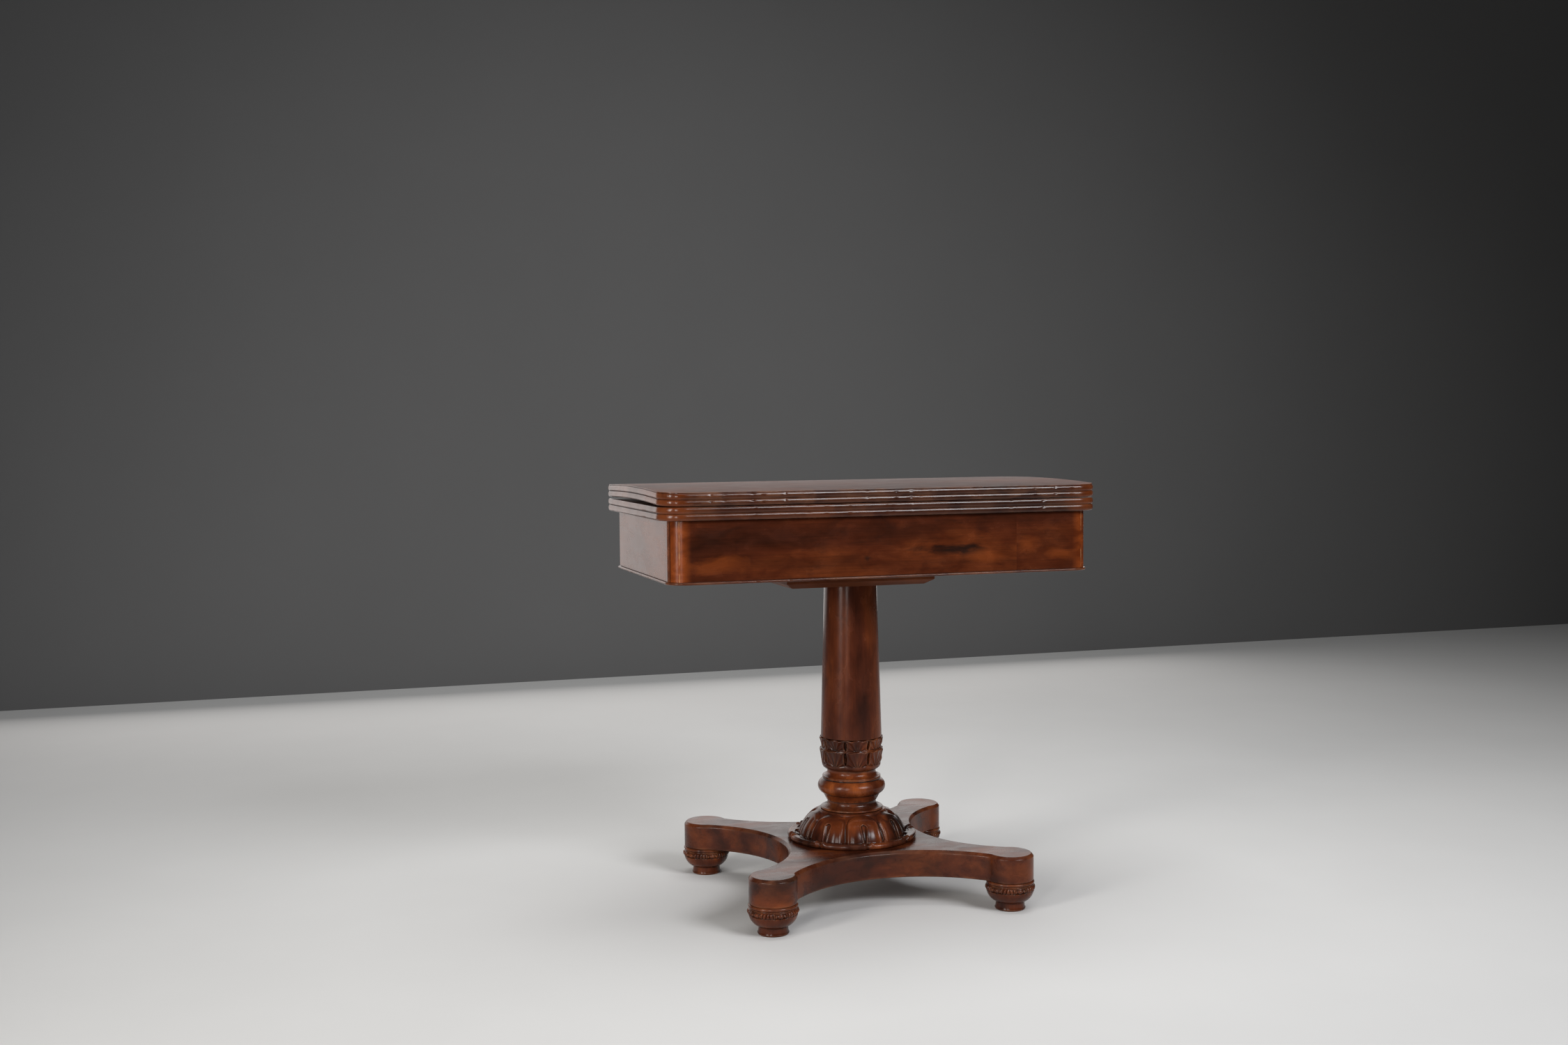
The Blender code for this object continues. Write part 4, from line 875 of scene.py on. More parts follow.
# Carving of the dome: shares of half a petal across, and of the wall's height down
PETALS = 8
DOME_TURN = math.radians(-5.6)
CREASE_DEPTH = 0.0052
PETAL_FALL = 0.0016                 # how much lower a petal lies at its sides
PETAL_ROLL = 0.0011                 # rounded edge along a petal's arch
PETAL_TOP = 0.04
PETAL_ARCH = 0.30
ARCH_SOFT = 0.10
FLANK_SOFT = 0.15
RIB_HEIGHT = 0.0016
RIB_AT = 0.48
RIB_WIDE = 0.26
FLUTE_TOP = 0.35                    # share of the wall's height above a flute
FLUTE_WIDE = 0.0058
FLUTE_NARROW = 0.0024
FLUTE_DEPTH = 0.0036
FLUTE_LENGTH = 0.034
FLUTE_SLOPE = 0.0026
FLUTE_LIP = 0.0010
LIP_WIDE = 0.0012
RIM_NOTCH = 0.0034
RIM_CURL = 0.0026
CURL_AT = 0.17
CURL_WIDE = 0.075
RIM_SWAY = 0.0010


def dome_section():
    """Dome from its bore out over the wall and the rim, and back under."""
    top = DOME_HIGH - DOME_LOW
    half = RIM_HEIGHT / 2
    cove = (COVE_WIDTH / 2, COVE_DEPTH)
    section = [(BORE_RADIUS, top), (DOME_TOP_RADIUS * 0.8, top)]
    section += bowed((DOME_TOP_RADIUS, top), (DOME_WALL_RADIUS, RIM_HEIGHT), DOME_CROWN, 84)
    section += arc((DOME_WALL_RADIUS + COVE_WIDTH / 2, RIM_HEIGHT), cove, 180, 350, 8)[1:]
    section += arc((RIM_RADIUS - half, half), (half, half), 110, -80, 22)
    return section + [(DOME_WALL_RADIUS, 0), (BORE_RADIUS, 0)]


def dome_carving(radius, height, angle):
    """Round-topped petals between creases, each with a lipped flute, and a rim that curls beside it."""
    across = abs(wrap(angle - DOME_TURN, PETALS))
    if radius < DOME_TOP_RADIUS * 0.98 or height <= 0:
        return radius, height
    if radius > DOME_WALL_RADIUS + COVE_WIDTH:
        share = height / RIM_HEIGHT
        notch = RIM_NOTCH * hump(across, CURL_WIDE)
        curl = RIM_CURL * hump(across - CURL_AT, CURL_WIDE) * smooth(share)
        sway = max(0.0, RIM_SWAY * math.cos(math.pi * across))
        return radius - notch - sway, height + curl - notch * 0.7 * smooth(share - 0.3)
    fall = (DOME_HIGH - DOME_LOW - height) / (DOME_HIGH - DOME_LOW - RIM_HEIGHT)
    side = min(1.0, across / 0.93)
    arch = (fall - PETAL_TOP - PETAL_ARCH * (1 - math.sqrt(1 - side ** 2.4))) / ARCH_SOFT
    flank = (0.985 - across) / FLANK_SOFT
    petal = smooth(arch) * smooth(flank)
    depth = CREASE_DEPTH * (1 - petal) * smooth(fall / 0.14) + PETAL_FALL * across ** 2 * smooth(fall / 0.3)
    depth -= PETAL_ROLL * hump(min(arch, flank) - 1.1, 0.5)
    along = (fall - FLUTE_TOP) / (1 - FLUTE_TOP)
    aside = across * math.pi / PETALS * radius
    round_end = FLUTE_WIDE / FLUTE_LENGTH
    if along < round_end:
        edge = math.hypot(aside, (along - round_end) * FLUTE_LENGTH) - FLUTE_WIDE
    else:
        share = min(1.0, (along - round_end) / (1 - round_end))
        edge = aside - FLUTE_WIDE + (FLUTE_WIDE - FLUTE_NARROW) * share
    depth += FLUTE_DEPTH * smooth(-edge / FLUTE_SLOPE) - FLUTE_LIP * hump(edge - FLUTE_LIP, LIP_WIDE)
    rib = RIB_HEIGHT * hump(across - RIB_AT, RIB_WIDE) * smooth((fall - 0.15) / 0.3)
    return radius - depth + rib, height


def build_dome():
    mesh = revolve("dome", dome_section(), (0, 0, DOME_LOW), DOME_STEPS, True, dome_carving)
    # The dark patches low on the dome's sides are painted shade
    patches = (((-0.030, -0.078, DOME_LOW + 0.036), (0.048, 0.040, 0.022), 0.38, AMBER),
               ((0.084, -0.055, DOME_LOW + 0.022), (0.062, 0.066, 0.055), 0.90, WAX_AND_SHADE),
               ((-0.098, -0.020, DOME_LOW + 0.020), (0.040, 0.060, 0.050), 0.45, WAX_AND_SHADE))
    wood = polished_wood("dome_wood", DOME_TONES, grain=2, seed=1.7, figure=(17.0, 11.0), rough=(0.18, 0.29),
                         contrast=0.13, marks=patches, grime=0.6)
    add_piece("carved_dome", mesh, "carved_mahogany", wood, "dome_cap", sharp=60)


def knop_section():
    """Knop from the top down, then up its bore."""
    top = KNOP_HIGH - KNOP_LOW
    cavetto_top = top + FIT - KNOP_FILLET
    ring_top = cavetto_top - KNOP_CAVETTO
    torus_top = ring_top - KNOP_RING
    taper_low = torus_top - KNOP_TORUS - KNOP_TAPER
    half = KNOP_TORUS / 2
    bulge = (KNOP_TORUS_RADIUS - KNOP_NECK_RADIUS, half)
    flare = (KNOP_RING_RADIUS - KNOP_NECK_RADIUS, KNOP_CAVETTO)
    foot = (KNOP_BASE_RADIUS - KNOP_NECK_RADIUS, KNOP_SCOTIA)
    bead = KNOP_RING / 4
    low = KNOP_LOW_ROLL
    section = [(BORE_RADIUS, top), (KNOP_NECK_RADIUS, top), (KNOP_NECK_RADIUS, cavetto_top + 0.0008)]
    section += arc((KNOP_RING_RADIUS, cavetto_top), flare, 180, 270, 12)
    for drop in (bead, 3 * bead):
        section += arc((KNOP_RING_RADIUS - bead, ring_top - drop), (bead, bead), 70, -70, 6)
    section += arc((KNOP_NECK_RADIUS, torus_top - half), bulge, KNOP_TORUS_ARC, -KNOP_TORUS_ARC, 32)
    section += [(KNOP_TAPER_RADIUS, taper_low), (KNOP_NECK_RADIUS, taper_low)]
    section += arc((KNOP_BASE_RADIUS, taper_low - KNOP_LOW_FILLET), foot, 180, 262, 12)
    section += arc((KNOP_BASE_RADIUS - low, low), (low, low), 80, -90, 8)
    return section + [(BORE_RADIUS, 0)]


def build_knop():
    section = fill_in(soften(knop_section(), 0.0006, closed=True), 0.004)
    mesh = revolve("knop", section, (0, 0, KNOP_LOW), bore=True)
    # Dark bands round the knop: the low one in its scotia is painted shade, the other darkens its top fillet
    dirt_and_shade = (((0, 0, KNOP_LOW + KNOP_SCOTIA * 0.8), (1.0, 1.0, KNOP_SCOTIA), 0.60, WAX_AND_SHADE),
            ((0, 0, KNOP_HIGH), (1.0, 1.0, KNOP_FILLET), 0.35, WAX_AND_SHADE))
    wood = polished_wood("knop_wood", ORANGE_TONES, grain=2, seed=8.2, figure=(21.0, 9.0), rough=(0.20, 0.30),
                         contrast=0.14, marks=dirt_and_shade, grime=0.5)
    add_piece("turned_knop", mesh, "orange_mahogany", wood, "knop")


# Carving of the collar: an eye's middle and half height are shares of its tier's height
COLLAR_LEAVES = 8
COLLAR_TURN = math.radians(-31.6)
UPPER_EYE = (0.48, 0.42)
LOWER_EYE = (0.54, 0.40)
EYE_DEPTH = 0.0046
EYE_WIDE = 0.0029
EYE_SLOPE = 0.0014
VEIN_DEPTH = 0.0011
VEIN_SPREAD = math.radians(27)
MIDRIB_WIDE = 0.0010
MIDRIB_FADE = 0.003
LEAF_FALL = 0.0012                  # how much lower a leaf lies at its sides
LEAF_DROOP = 0.0018
LEAF_CURL = 0.0018                  # how far a leaf's edges curl out beside an eye
CURL_SOFT = 0.0013


def collar_section():
    """Collar from the top down, then up its bore: two tiers that each flare to a lip."""
    top = COLLAR_HIGH - COLLAR_LOW
    lip = COLLAR_TIP_RADIUS - COLLAR_PINCH_RADIUS
    half = lip / 2
    cup_size = (COLLAR_LOW_RADIUS - COLLAR_FOOT_RADIUS, COLLAR_CUP)
    section = [(BORE_RADIUS, top), (COLLAR_TIP_RADIUS - lip * 0.9, top)]
    section += arc((COLLAR_TIP_RADIUS - half, top - half), (half, half), 105, -30, 9)
    section.append((COLLAR_PINCH_RADIUS + lip * 0.25, LOWER_TIER + lip * 2))
    section.append((COLLAR_PINCH_RADIUS, LOWER_TIER + lip * 0.4))
    section += arc((COLLAR_TIP_RADIUS - half, LOWER_TIER - half), (half, half), 105, -30, 9)
    section += arc((COLLAR_FOOT_RADIUS, COLLAR_CUP), cup_size, 0, -90, 14)
    return section + [(BORE_RADIUS, 0)]


def collar_carving(radius, height, angle):
    """Two tiers of veined leaves with midribs, and a pointed eye between neighbouring leaves."""
    upper = height > LOWER_TIER + 0.0002
    low, high = (LOWER_TIER, COLLAR_HIGH - COLLAR_LOW) if upper else (COLLAR_CUP, LOWER_TIER)
    t = min(1.0, (height - low) / (high - low))
    if t < 0 or radius < COLLAR_FOOT_RADIUS * 0.97:
        return radius, height
    half_leaf = math.pi / COLLAR_LEAVES * radius
    from_eye = abs(wrap(angle - COLLAR_TURN, COLLAR_LEAVES))
    aside = (1 - from_eye) * half_leaf
    away = from_eye * half_leaf
    fan = math.atan2(aside, (t + 0.12) * (high - low))
    vein = 0.5 - 0.5 * math.cos(2 * math.pi * fan / VEIN_SPREAD)
    body = smooth(aside / MIDRIB_FADE)
    relief = VEIN_DEPTH * (vein * body + (1 - body) * (1 - hump(aside, MIDRIB_WIDE)))
    relief += LEAF_FALL * (1 - from_eye) * smooth(1.2 * t)
    middle, reach = UPPER_EYE if upper else LOWER_EYE
    level = (t - middle) / reach
    if abs(level) < 1:
        wide = EYE_WIDE * math.sqrt(1 - level ** 2)
        relief += EYE_DEPTH * smooth((wide - away) / EYE_SLOPE)
        relief -= LEAF_CURL * hump(away - wide - EYE_SLOPE, CURL_SOFT) * (0.5 + 0.5 * t)
        if not upper:
            relief -= EYE_DEPTH * 0.8 * hump(away, 0.0011) * hump(level + 0.15, 0.5)
    fade = smooth(t / 0.08) * smooth((1.02 - t) / 0.10)
    droop = LEAF_DROOP * (0.5 - 0.5 * math.cos(2 * math.pi * from_eye)) * smooth((t - 0.6) / 0.4)
    return radius - relief * fade, height - droop


def build_collar():
    section = fill_in(collar_section(), 0.0007)
    mesh = revolve("collar", section, (0, 0, COLLAR_LOW), COLLAR_STEPS, True, collar_carving)
    wood = polished_wood("collar_wood", DOME_TONES, grain=2, seed=6.4, figure=(19.0, 9.0), rough=(0.18, 0.28),
                         grime=0.5)
    add_piece("carved_collar", mesh, "carved_mahogany", wood, "leaf_collar", sharp=60)


def kerf_mesh(end, inward):
    """Tapered slot for a wedge, from the end of a tenon inward (1 is up, -1 is down)."""
    y = WEDGE_WIDTH / 2 + FIT
    rings = []
    for thickness, depth in ((WEDGE_THICKNESS, -PROUD), (WEDGE_THICKNESS, 0.0),
                             (WEDGE_THICKNESS / 2, WEDGE_LENGTH + FIT)):
        x, z = thickness / 2 + FIT, end + inward * depth
        rings.append([(-x, -y, z), (x, -y, z), (x, y, z), (-x, y, z)])
    return skin("kerf", rings)


def build_shaft():
    """Tapered shaft with its tenon above and its spigot below, both slotted for wedges."""
    low = COLLAR_HIGH + FIT
    tenon_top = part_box("column_shaft")[1].z
    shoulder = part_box("bearer_block")[0].z - FIT
    section = [(TENON_RADIUS, tenon_top), (TENON_RADIUS, shoulder), (SHAFT_TOP_RADIUS, shoulder),
               (SHAFT_FOOT_RADIUS, low), (TENON_RADIUS, low), (TENON_RADIUS, PLATFORM_LOW)]
    mesh = revolve("shaft", fill_in(soften(section, 0.0006), 0.012), (0, 0, 0))
    mesh = carve(mesh, [kerf_mesh(tenon_top, -1), kerf_mesh(PLATFORM_LOW, 1)])
    wood = polished_wood("shaft_wood", RED_TONES, grain=2, seed=4.6, figure=(20.0, 3.0), rough=(0.20, 0.30))
    add_piece("tapered_shaft", mesh, "mahogany", wood, "column_shaft")


def centre_of(node):
    low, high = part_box(node)
    return (low.x + high.x) / 2, (low.y + high.y) / 2


def build_bearer():
    """Bearer with long low chamfers on its lower edges, bored for the tenon and the screws."""
    low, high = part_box("bearer_block")
    section = [(BEARER_CHAMFER, high.z), (0, high.z), (0, low.z + BEARER_CHAMFER_RISE),
               (BEARER_CHAMFER, low.z), (2 * BEARER_CHAMFER, low.z)]
    rings = []
    for inset, z in soften(section)[1:-1]:
        x0, y0, x1, y1 = low.x + inset, low.y + inset, high.x - inset, high.y - inset
        rings.append([(x0, y0, z), (x1, y0, z), (x1, y1, z), (x0, y1, z)])
    cutters = [hole_mesh(TENON_RADIUS, 0, 0, low.z - PROUD, high.z + PROUD)]
    head, shank = BEARER_SCREW_HEAD + FIT, BEARER_SCREW_SHANK + FIT
    hole = [(head, low.z - PROUD), (head, low.z), (shank, low.z + head - shank), (shank, high.z + PROUD)]
    for corner, _, _ in CORNERS:
        cutters.append(revolve("hole", hole, (*centre_of("bearer_screw_" + corner), 0), 48))
    wood = polished_wood("bearer_wood", PALE_AND_SHEEN_TONES, grain=0, seed=9.5, figure=(14.0, 6.0), rough=(0.50, 0.60),
                         grime=0.45, shine=0.03)
    add_piece("bearer", carve(skin("bearer", rings), cutters), "mahogany", wood, "bearer_block")


# Frieze

VENEER_JOINT = 0.243
# Patches on the front: place along it and height, half length and half height, strength and colour
FRIEZE_PATCHES = ((0.136, 0.6410, 0.064, 0.0100, 0.90, WAX_AND_SHADE),
                  (0.090, 0.6440, 0.060, 0.0060, 0.50, WAX_AND_SHADE),
                  (-0.039, 0.6310, 0.007, 0.0050, 0.65, WAX_AND_SHADE),
                  (0.030, 0.6720, 0.130, 0.0260, 0.34, WAX_AND_SHADE),
                  (-0.322, 0.6760, 0.042, 0.0260, 0.45, WAX_AND_SHADE),
                  (-0.312, 0.6270, 0.058, 0.0200, 0.42, AMBER),
                  (0.262, 0.6460, 0.026, 0.0180, 0.42, AMBER),
                  (0.330, 0.6280, 0.040, 0.0120, 0.40, AMBER),
                  (0.185, 0.6280, 0.034, 0.0140, 0.40, AMBER))
PATCH_DEPTH = 0.05


def front_rail(node):
    """Front rail with eased long edges, in touch with the corner blocks so that no seam shows."""
    low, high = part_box(node)
    section = [(low.y, low.z), (high.y, low.z), (high.y, high.z), (low.y, high.z)]
    section = soften(section, RAIL_EASE, closed=True)
    return skin(node, [[(x, y, z) for y, z in section] for x in (low.x - FIT, high.x + FIT)])


def build_frieze(carcass):
    marks = [((x, -FRIEZE_Y, z), (wide, PATCH_DEPTH, high), strength, stain)
             for x, z, wide, high, strength, stain in FRIEZE_PATCHES]
    front = polished_wood("frieze_wood", MAHOGANY_TONES, grain=0, seed=2.35, figure=(10.0, 3.0),
                          rough=(0.20, 0.30), contrast=0.22, joint=VENEER_JOINT, marks=marks, strip=True)
    # The frieze's ends take the paler tones, partly a painted sheen
    ends = polished_wood("frieze_end_wood", PALE_AND_SHEEN_TONES, grain=1, seed=7.7, figure=(12.0, 5.0),
                         rough=(0.24, 0.29), grime=0.3)
    for side, slot, wood in (("front", "mahogany", front), ("left", "mahogany", ends),
                             ("right", "mahogany", ends), ("back", "carcass_wood", carcass)):
        node = f"frieze_{side}_rail"
        mesh = front_rail(node) if side == "front" else box_mesh(side, *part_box(node), ease=RAIL_EASE)
        add_piece(side + "_rail", mesh, slot, wood, node)
    for side, sign in SIDES:
        node = "corner_block_" + side
        low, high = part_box(node)
        size = high.x - low.x
        outline = arc((FRIEZE_CORNER, FRIEZE_CORNER), (FRIEZE_CORNER, FRIEZE_CORNER), 180, 270, 28)
        outline += [(size, 0), (size, size), (0, size)]
        rings = [[(sign * (FRIEZE_X - x), y - FRIEZE_Y, z) for x, y in outline] for z in (low.z, high.z)]
        add_piece("rounded_" + node, skin(node, rings), "orange_mahogany", front, node)


def nick_list(seed, length):
    """Places along a moulding, heights, widths and depths of small nicks."""
    draw = random.Random(seed)
    return [(draw.uniform(0, length), draw.random(), draw.uniform(*NICK_WIDTH), draw.uniform(*NICK_DEPTH))
            for _ in range(NICKS)]


def worn(place, share, at, nicks, seed):
    """Depth of wear at a distance along a moulding and a share of its height."""
    depth = WAVE * (1 + noise.noise(Vector(at) * WAVE_PITCH + Vector((seed, 0, 0))))
    for middle, height, wide, deep in nicks:
        off = (place - middle) / wide
        if abs(off) < 3:
            depth += deep * math.exp(-off * off - ((share - height) / NICK_HEIGHT) ** 2)
    return depth


def bead_rings(path, seed):
    """Bead along a path of points and outward directions, worn on its nose."""
    half = BEAD_HEIGHT / 2
    nose = arc((BEAD_PROJECTION - half, half), (half, half), -90, 90)
    section = [(-BEAD_WIDTH, 0)] + nose + [(-BEAD_WIDTH, BEAD_HEIGHT)]
    nicks = nick_list(seed, 1.2)
    rings = []
    run = 0.0
    for i, (x, y, nx, ny) in enumerate(path):
        run += math.dist(path[i][:2], path[i - 1][:2]) if i else 0.0
        ring = []
        for out, z in section:
            reach = out - (worn(run, z / BEAD_HEIGHT, (x, y, z), nicks, seed) if out > 0 else 0)
            ring.append((x + nx * reach, y + ny * reach, BEAD_Z + z))
        rings.append(ring)
    return rings


def front_line(half, y):
    """Points between the ends of a straight front edge, with their outward direction."""
    return [(-half + 2 * half * k / FRONT_STEPS, y, 0, -1) for k in range(1, FRONT_STEPS)]


def left_turn(radius, x, y, steps):
    """Points of a rounded left front corner about a centre, with their outward directions."""
    return [(x + radius * nx, y + radius * ny, nx, ny) for nx, ny in arc((0, 0), (1, 1), 180, 270, steps)]


def mirrored(path):
    """The same path at the other end, run backward."""
    return [(-x, y, -nx, ny) for x, y, nx, ny in reversed(path)]


def build_beads():
    corner_x = FRIEZE_X - FRIEZE_CORNER
    stop_y = FRIEZE_CORNER - FRIEZE_Y
    left = left_turn(FRIEZE_CORNER, -corner_x, stop_y, 20)
    paths = {"front": left + front_line(corner_x, -FRIEZE_Y) + mirrored(left)}
    start = stop_y + FIT
    steps = FRONT_STEPS // 3
    for side, sign in SIDES:
        paths[side] = [(sign * FRIEZE_X, start + (FRIEZE_Y - start) * k / steps, sign, 0)
                       for k in range(steps + 1)]
    for number, (side, path) in enumerate(paths.items()):
        wood = polished_wood("bead_wood_" + side, RED_TONES, grain=0 if side == "front" else 1,
                             seed=4.4 + number, figure=(7.0, 2.6), rough=(0.12, 0.20))
        mesh = skin("bead", bead_rings(path, 30 + number))
        add_piece("cock_bead_" + side, mesh, "orange_mahogany", wood, "bead_" + side)


# Top


def leaf_side():
    """Left end of a leaf in plan with its outward directions, from the back round the front corner."""
    corner_y = LEAF_CORNER - LEAF_Y
    side = [(-LEAF_X, LEAF_Y + (corner_y - LEAF_Y) * k / SIDE_STEPS, -1, 0) for k in range(SIDE_STEPS)]
    return side + left_turn(LEAF_CORNER, LEAF_CORNER - LEAF_X, corner_y, 18)


def leaf_section(arris):
    """Insets and heights of two half-round reeds, with an arris above them if asked."""
    top = LEAF_THICKNESS - arris
    reed = top / 2
    levels = []
    for number in range(2):
        for drop, height in arc((0, reed * (number + 0.5)), (REED_DEPTH, reed / 2), -90, 90, 14)[number:]:
            levels.append((REED_DEPTH - drop, height))
    if arris:
        levels += [(ARRIS_SET, top + FIT), (ARRIS_SET, LEAF_THICKNESS - ARRIS_ROUND),
                   (ARRIS_SET + ARRIS_ROUND / 3, LEAF_THICKNESS - ARRIS_ROUND / 3),
                   (ARRIS_SET + ARRIS_ROUND, LEAF_THICKNESS)]
    return levels


def leaf_mesh(name, low, arris, seed):
    """A reeded leaf, with its faces in strips from end to end."""
    left = leaf_side()
    outline = left + front_line(LEAF_X - LEAF_CORNER, -LEAF_Y) + mirrored(left)
    lengths = [0.0]
    for first, last in zip(outline, outline[1:]):
        lengths.append(lengths[-1] + math.dist(first[:2], last[:2]))
    nicks = nick_list(seed, lengths[-1])
    rings = []
    for inset, height in leaf_section(arris):
        share = (height / LEAF_THICKNESS * 2) % 1.0
        ring = []
        for run, (x, y, nx, ny) in zip(lengths, outline):
            cut = inset
            if 0 < height < LEAF_THICKNESS:
                cut += worn(run, share, (x, y, height), nicks, seed)
            ring.append((x - nx * cut, y - ny * cut, low + height))
        rings.append(ring)
    return skin(name, rings, strips=len(left) - 2)


def cup_lift(y):
    """Lift of the cupped leaf above its hinge edge."""
    land = LEAF_Y - HINGE_LAND
    t = max(0.0, (land - y) / (land + LEAF_Y))
    return 4 * CUP * t * (1 - t) + (FRONT_GAP - BACK_GAP) * t


def cup(mesh):
    """Bend a flat piece of the upper leaf to the cupped form."""
    bm = bmesh.new()
    bm.from_mesh(mesh)
    for y in [LEAF_Y - HINGE_LAND] + [y for _, y, _, _ in leaf_side()]:
        everything = bm.verts[:] + bm.edges[:] + bm.faces[:]
        bmesh.ops.bisect_plane(bm, geom=everything, dist=0.000002, plane_co=(0, y, 0), plane_no=(0, 1, 0))
    for vert in bm.verts:
        vert.co.z += cup_lift(vert.co.y)
    bm.to_mesh(mesh)
    bm.free()
    return mesh


def pin_rod(name, radius, x, reach, steps=48):
    """A rod about a hinge's pin."""
    return rod_mesh(name, radius, (x - reach, HINGE_Y, HINGE_Z), (x + reach, HINGE_Y, HINGE_Z), steps)


def hinge_seats(drop, rise):
    """Seats of the hinges in a leaf's back edge, and the room that their knuckles turn in."""
    cutters = []
    half = HINGE_LENGTH / 2
    for _, x in HINGES:
        low = (x - half - FIT, LEAF_Y - FLAP_THICKNESS - FIT, HINGE_Z - drop)
        cutters.append(box_mesh("seat", low, (x + half + FIT, HINGE_Y + PROUD, HINGE_Z + rise)))
        cutters.append(pin_rod("sweep", KNUCKLE_RADIUS + RUN, x, half + RUN))
    return cutters


def baize_bounds(inset=0.0):
    x = LEAF_X - BAIZE_BORDER - inset
    return (-x, BAIZE_BORDER - LEAF_Y + inset), (x, LEAF_Y - BAIZE_HINGE_BORDER - inset)


def recess(face_z, out):
    (x0, y0), (x1, y1) = baize_bounds()
    z0, z1 = sorted((face_z + out * PROUD, face_z - out * BAIZE_RECESS))
    return box_mesh("recess", (x0, y0, z0), (x1, y1, z1))


# Baize: its thickness at the rim and over the face as shares of the solid's, and its unevenness
RIM_SHARE = 0.55
FACE_SHARE = 0.92
FACE_WAVE = 0.00006
FACE_PITCH = 40


def cloth_mesh(name, face_z, out):
    """Baize in a recess, with a slightly uneven face and a soft edge."""
    (x0, y0), (x1, y1) = baize_bounds(FIT)
    back = face_z - out * (BAIZE_RECESS - FIT)
    rings = []
    for i in range(CLOTH_COLUMNS + 1):
        x = x0 + (x1 - x0) * (i / CLOTH_COLUMNS)
        under = []
        over = []
        for j in range(CLOTH_ROWS + 1):
            y = y0 + (y1 - y0) * (j / CLOTH_ROWS)
            if i in (0, CLOTH_COLUMNS) or j in (0, CLOTH_ROWS):
                lift = BAIZE_THICKNESS * RIM_SHARE
            else:
                wave = noise.noise(Vector((x * FACE_PITCH, y * FACE_PITCH, out)))
                lift = BAIZE_THICKNESS * FACE_SHARE + FACE_WAVE * wave
            under.append((x, y, back))
            over.append((x, y, back + out * lift))
        rings.append(under + over[::-1])
    return skin(name, rings, strips=CLOTH_ROWS)


def flap_section():
    """Plate and knuckle of a hinge about the pin, with the plate below it and y to the back."""
    inner = -PIN_SET - FLAP_THICKNESS
    outer = -PIN_SET
    start, end = (math.degrees(math.atan2(-math.sqrt(KNUCKLE_RADIUS ** 2 - y ** 2), y))
                  for y in (outer, inner))
    knuckle = arc((0, 0), (KNUCKLE_RADIUS, KNUCKLE_RADIUS), start, end + 360, 40)
    return [(inner, -HINGE_HEIGHT), (outer, -HINGE_HEIGHT)] + knuckle


def flap_mesh(name, x, up):
    """Plate with its knuckles, bored for the pin."""
    half, middle = HINGE_LENGTH / 2, MIDDLE_KNUCKLE / 2
    room = KNUCKLE_RADIUS + RUN
    sign = -1 if up else 1
    rings = [[(x + end, HINGE_Y + y, HINGE_Z + sign * z) for y, z in flap_section()] for end in (-half, half)]
    gaps = [(-middle - RUN / 2, middle + RUN / 2)]
    if up:
        gaps = [(-half - PROUD, -middle + RUN / 2), (middle - RUN / 2, half + PROUD)]
    cutters = [pin_rod("bore", PIN_RADIUS + FIT, x, half + PROUD, 24)]
    for start, stop in gaps:
        cutters.append(box_mesh("gap", (x + start, HINGE_Y - room, HINGE_Z - room),
                                (x + stop, HINGE_Y + room, HINGE_Z + room)))
    return carve(skin(name, rings), cutters)


def screw_heads(name, x, up):
    """Three countersunk heads with slots, let into a hinge plate."""
    sign = 1 if up else -1
    long, deep, wide = SCREW_SLOT
    meshes = []
    for number, (dx, dz) in enumerate(SCREW_PLACES):
        at = Vector((x + dx, LEAF_Y, HINGE_Z + sign * dz))
        ends = (at - Vector((0, SCREW_SINK, 0)), at + Vector((0, SCREW_PROUD, 0)))
        head = rod_mesh("head", SCREW_HEAD, *ends, 32)
        slot = box_mesh("slot", (-long, -deep, -wide), (long, PROUD, wide))
        slot.transform(Matrix.Translation(at) @ turned(25 + 47 * number + 13 * (x > 0), "Y"))
        meshes.append(carve(head, [slot]))
    return joined(name, meshes)


def leaf_wood(name, seed, dullness):
    # The amber front corners are partly rubbed wear, partly painted light on the lit corners
    rubbed = (((-0.385, -0.185, LOWER_TOP), (0.038, 0.045, 0.05), 0.42, AMBER),
              ((0.390, -0.195, LOWER_TOP), (0.045, 0.030, 0.05), 0.38, AMBER))
    return polished_wood(name, TOP_TONES, grain=0, seed=seed, figure=(9.0, 2.6), rough=(0.16, 0.25),
                         marks=rubbed, face=dullness, grime=0.45, shine=0.24)


def build_lower_leaf():
    """Lower leaf, cut for the hinges, the baize, the pivot's plate and head, and the stop peg."""
    seat = PIVOT_PLATE_SIDE / 2 + FIT
    under = LOWER_Z - PROUD
    plate_top = LOWER_Z + PIVOT_PLATE_THICKNESS + FIT
    head_top = plate_top + PIVOT_HEAD_HEIGHT + FIT
    cutters = hinge_seats(HINGE_HEIGHT + FIT, 0) + [recess(LOWER_TOP, 1)]
    low, high = PIVOT - seat, PIVOT + seat
    cutters.append(box_mesh("seat", (low, low, under), (high, high, plate_top)))
    cutters.append(hole_mesh(PIVOT_HEAD_RADIUS, PIVOT, PIVOT, plate_top - FIT, head_top))
    cutters.append(hole_mesh(STOP_PEG_RADIUS, *centre_of("stop_peg"), under, LOWER_Z + STOP_PEG_HOLE))
    mesh = carve(leaf_mesh("lower_leaf", LOWER_Z, 0.0, 21), cutters)
    wood = leaf_wood("lower_leaf_wood", 13.5, 0.20)
    return add_piece("reeded_lower_leaf", mesh, "mahogany", wood, "lower_leaf", body="swivel_top")


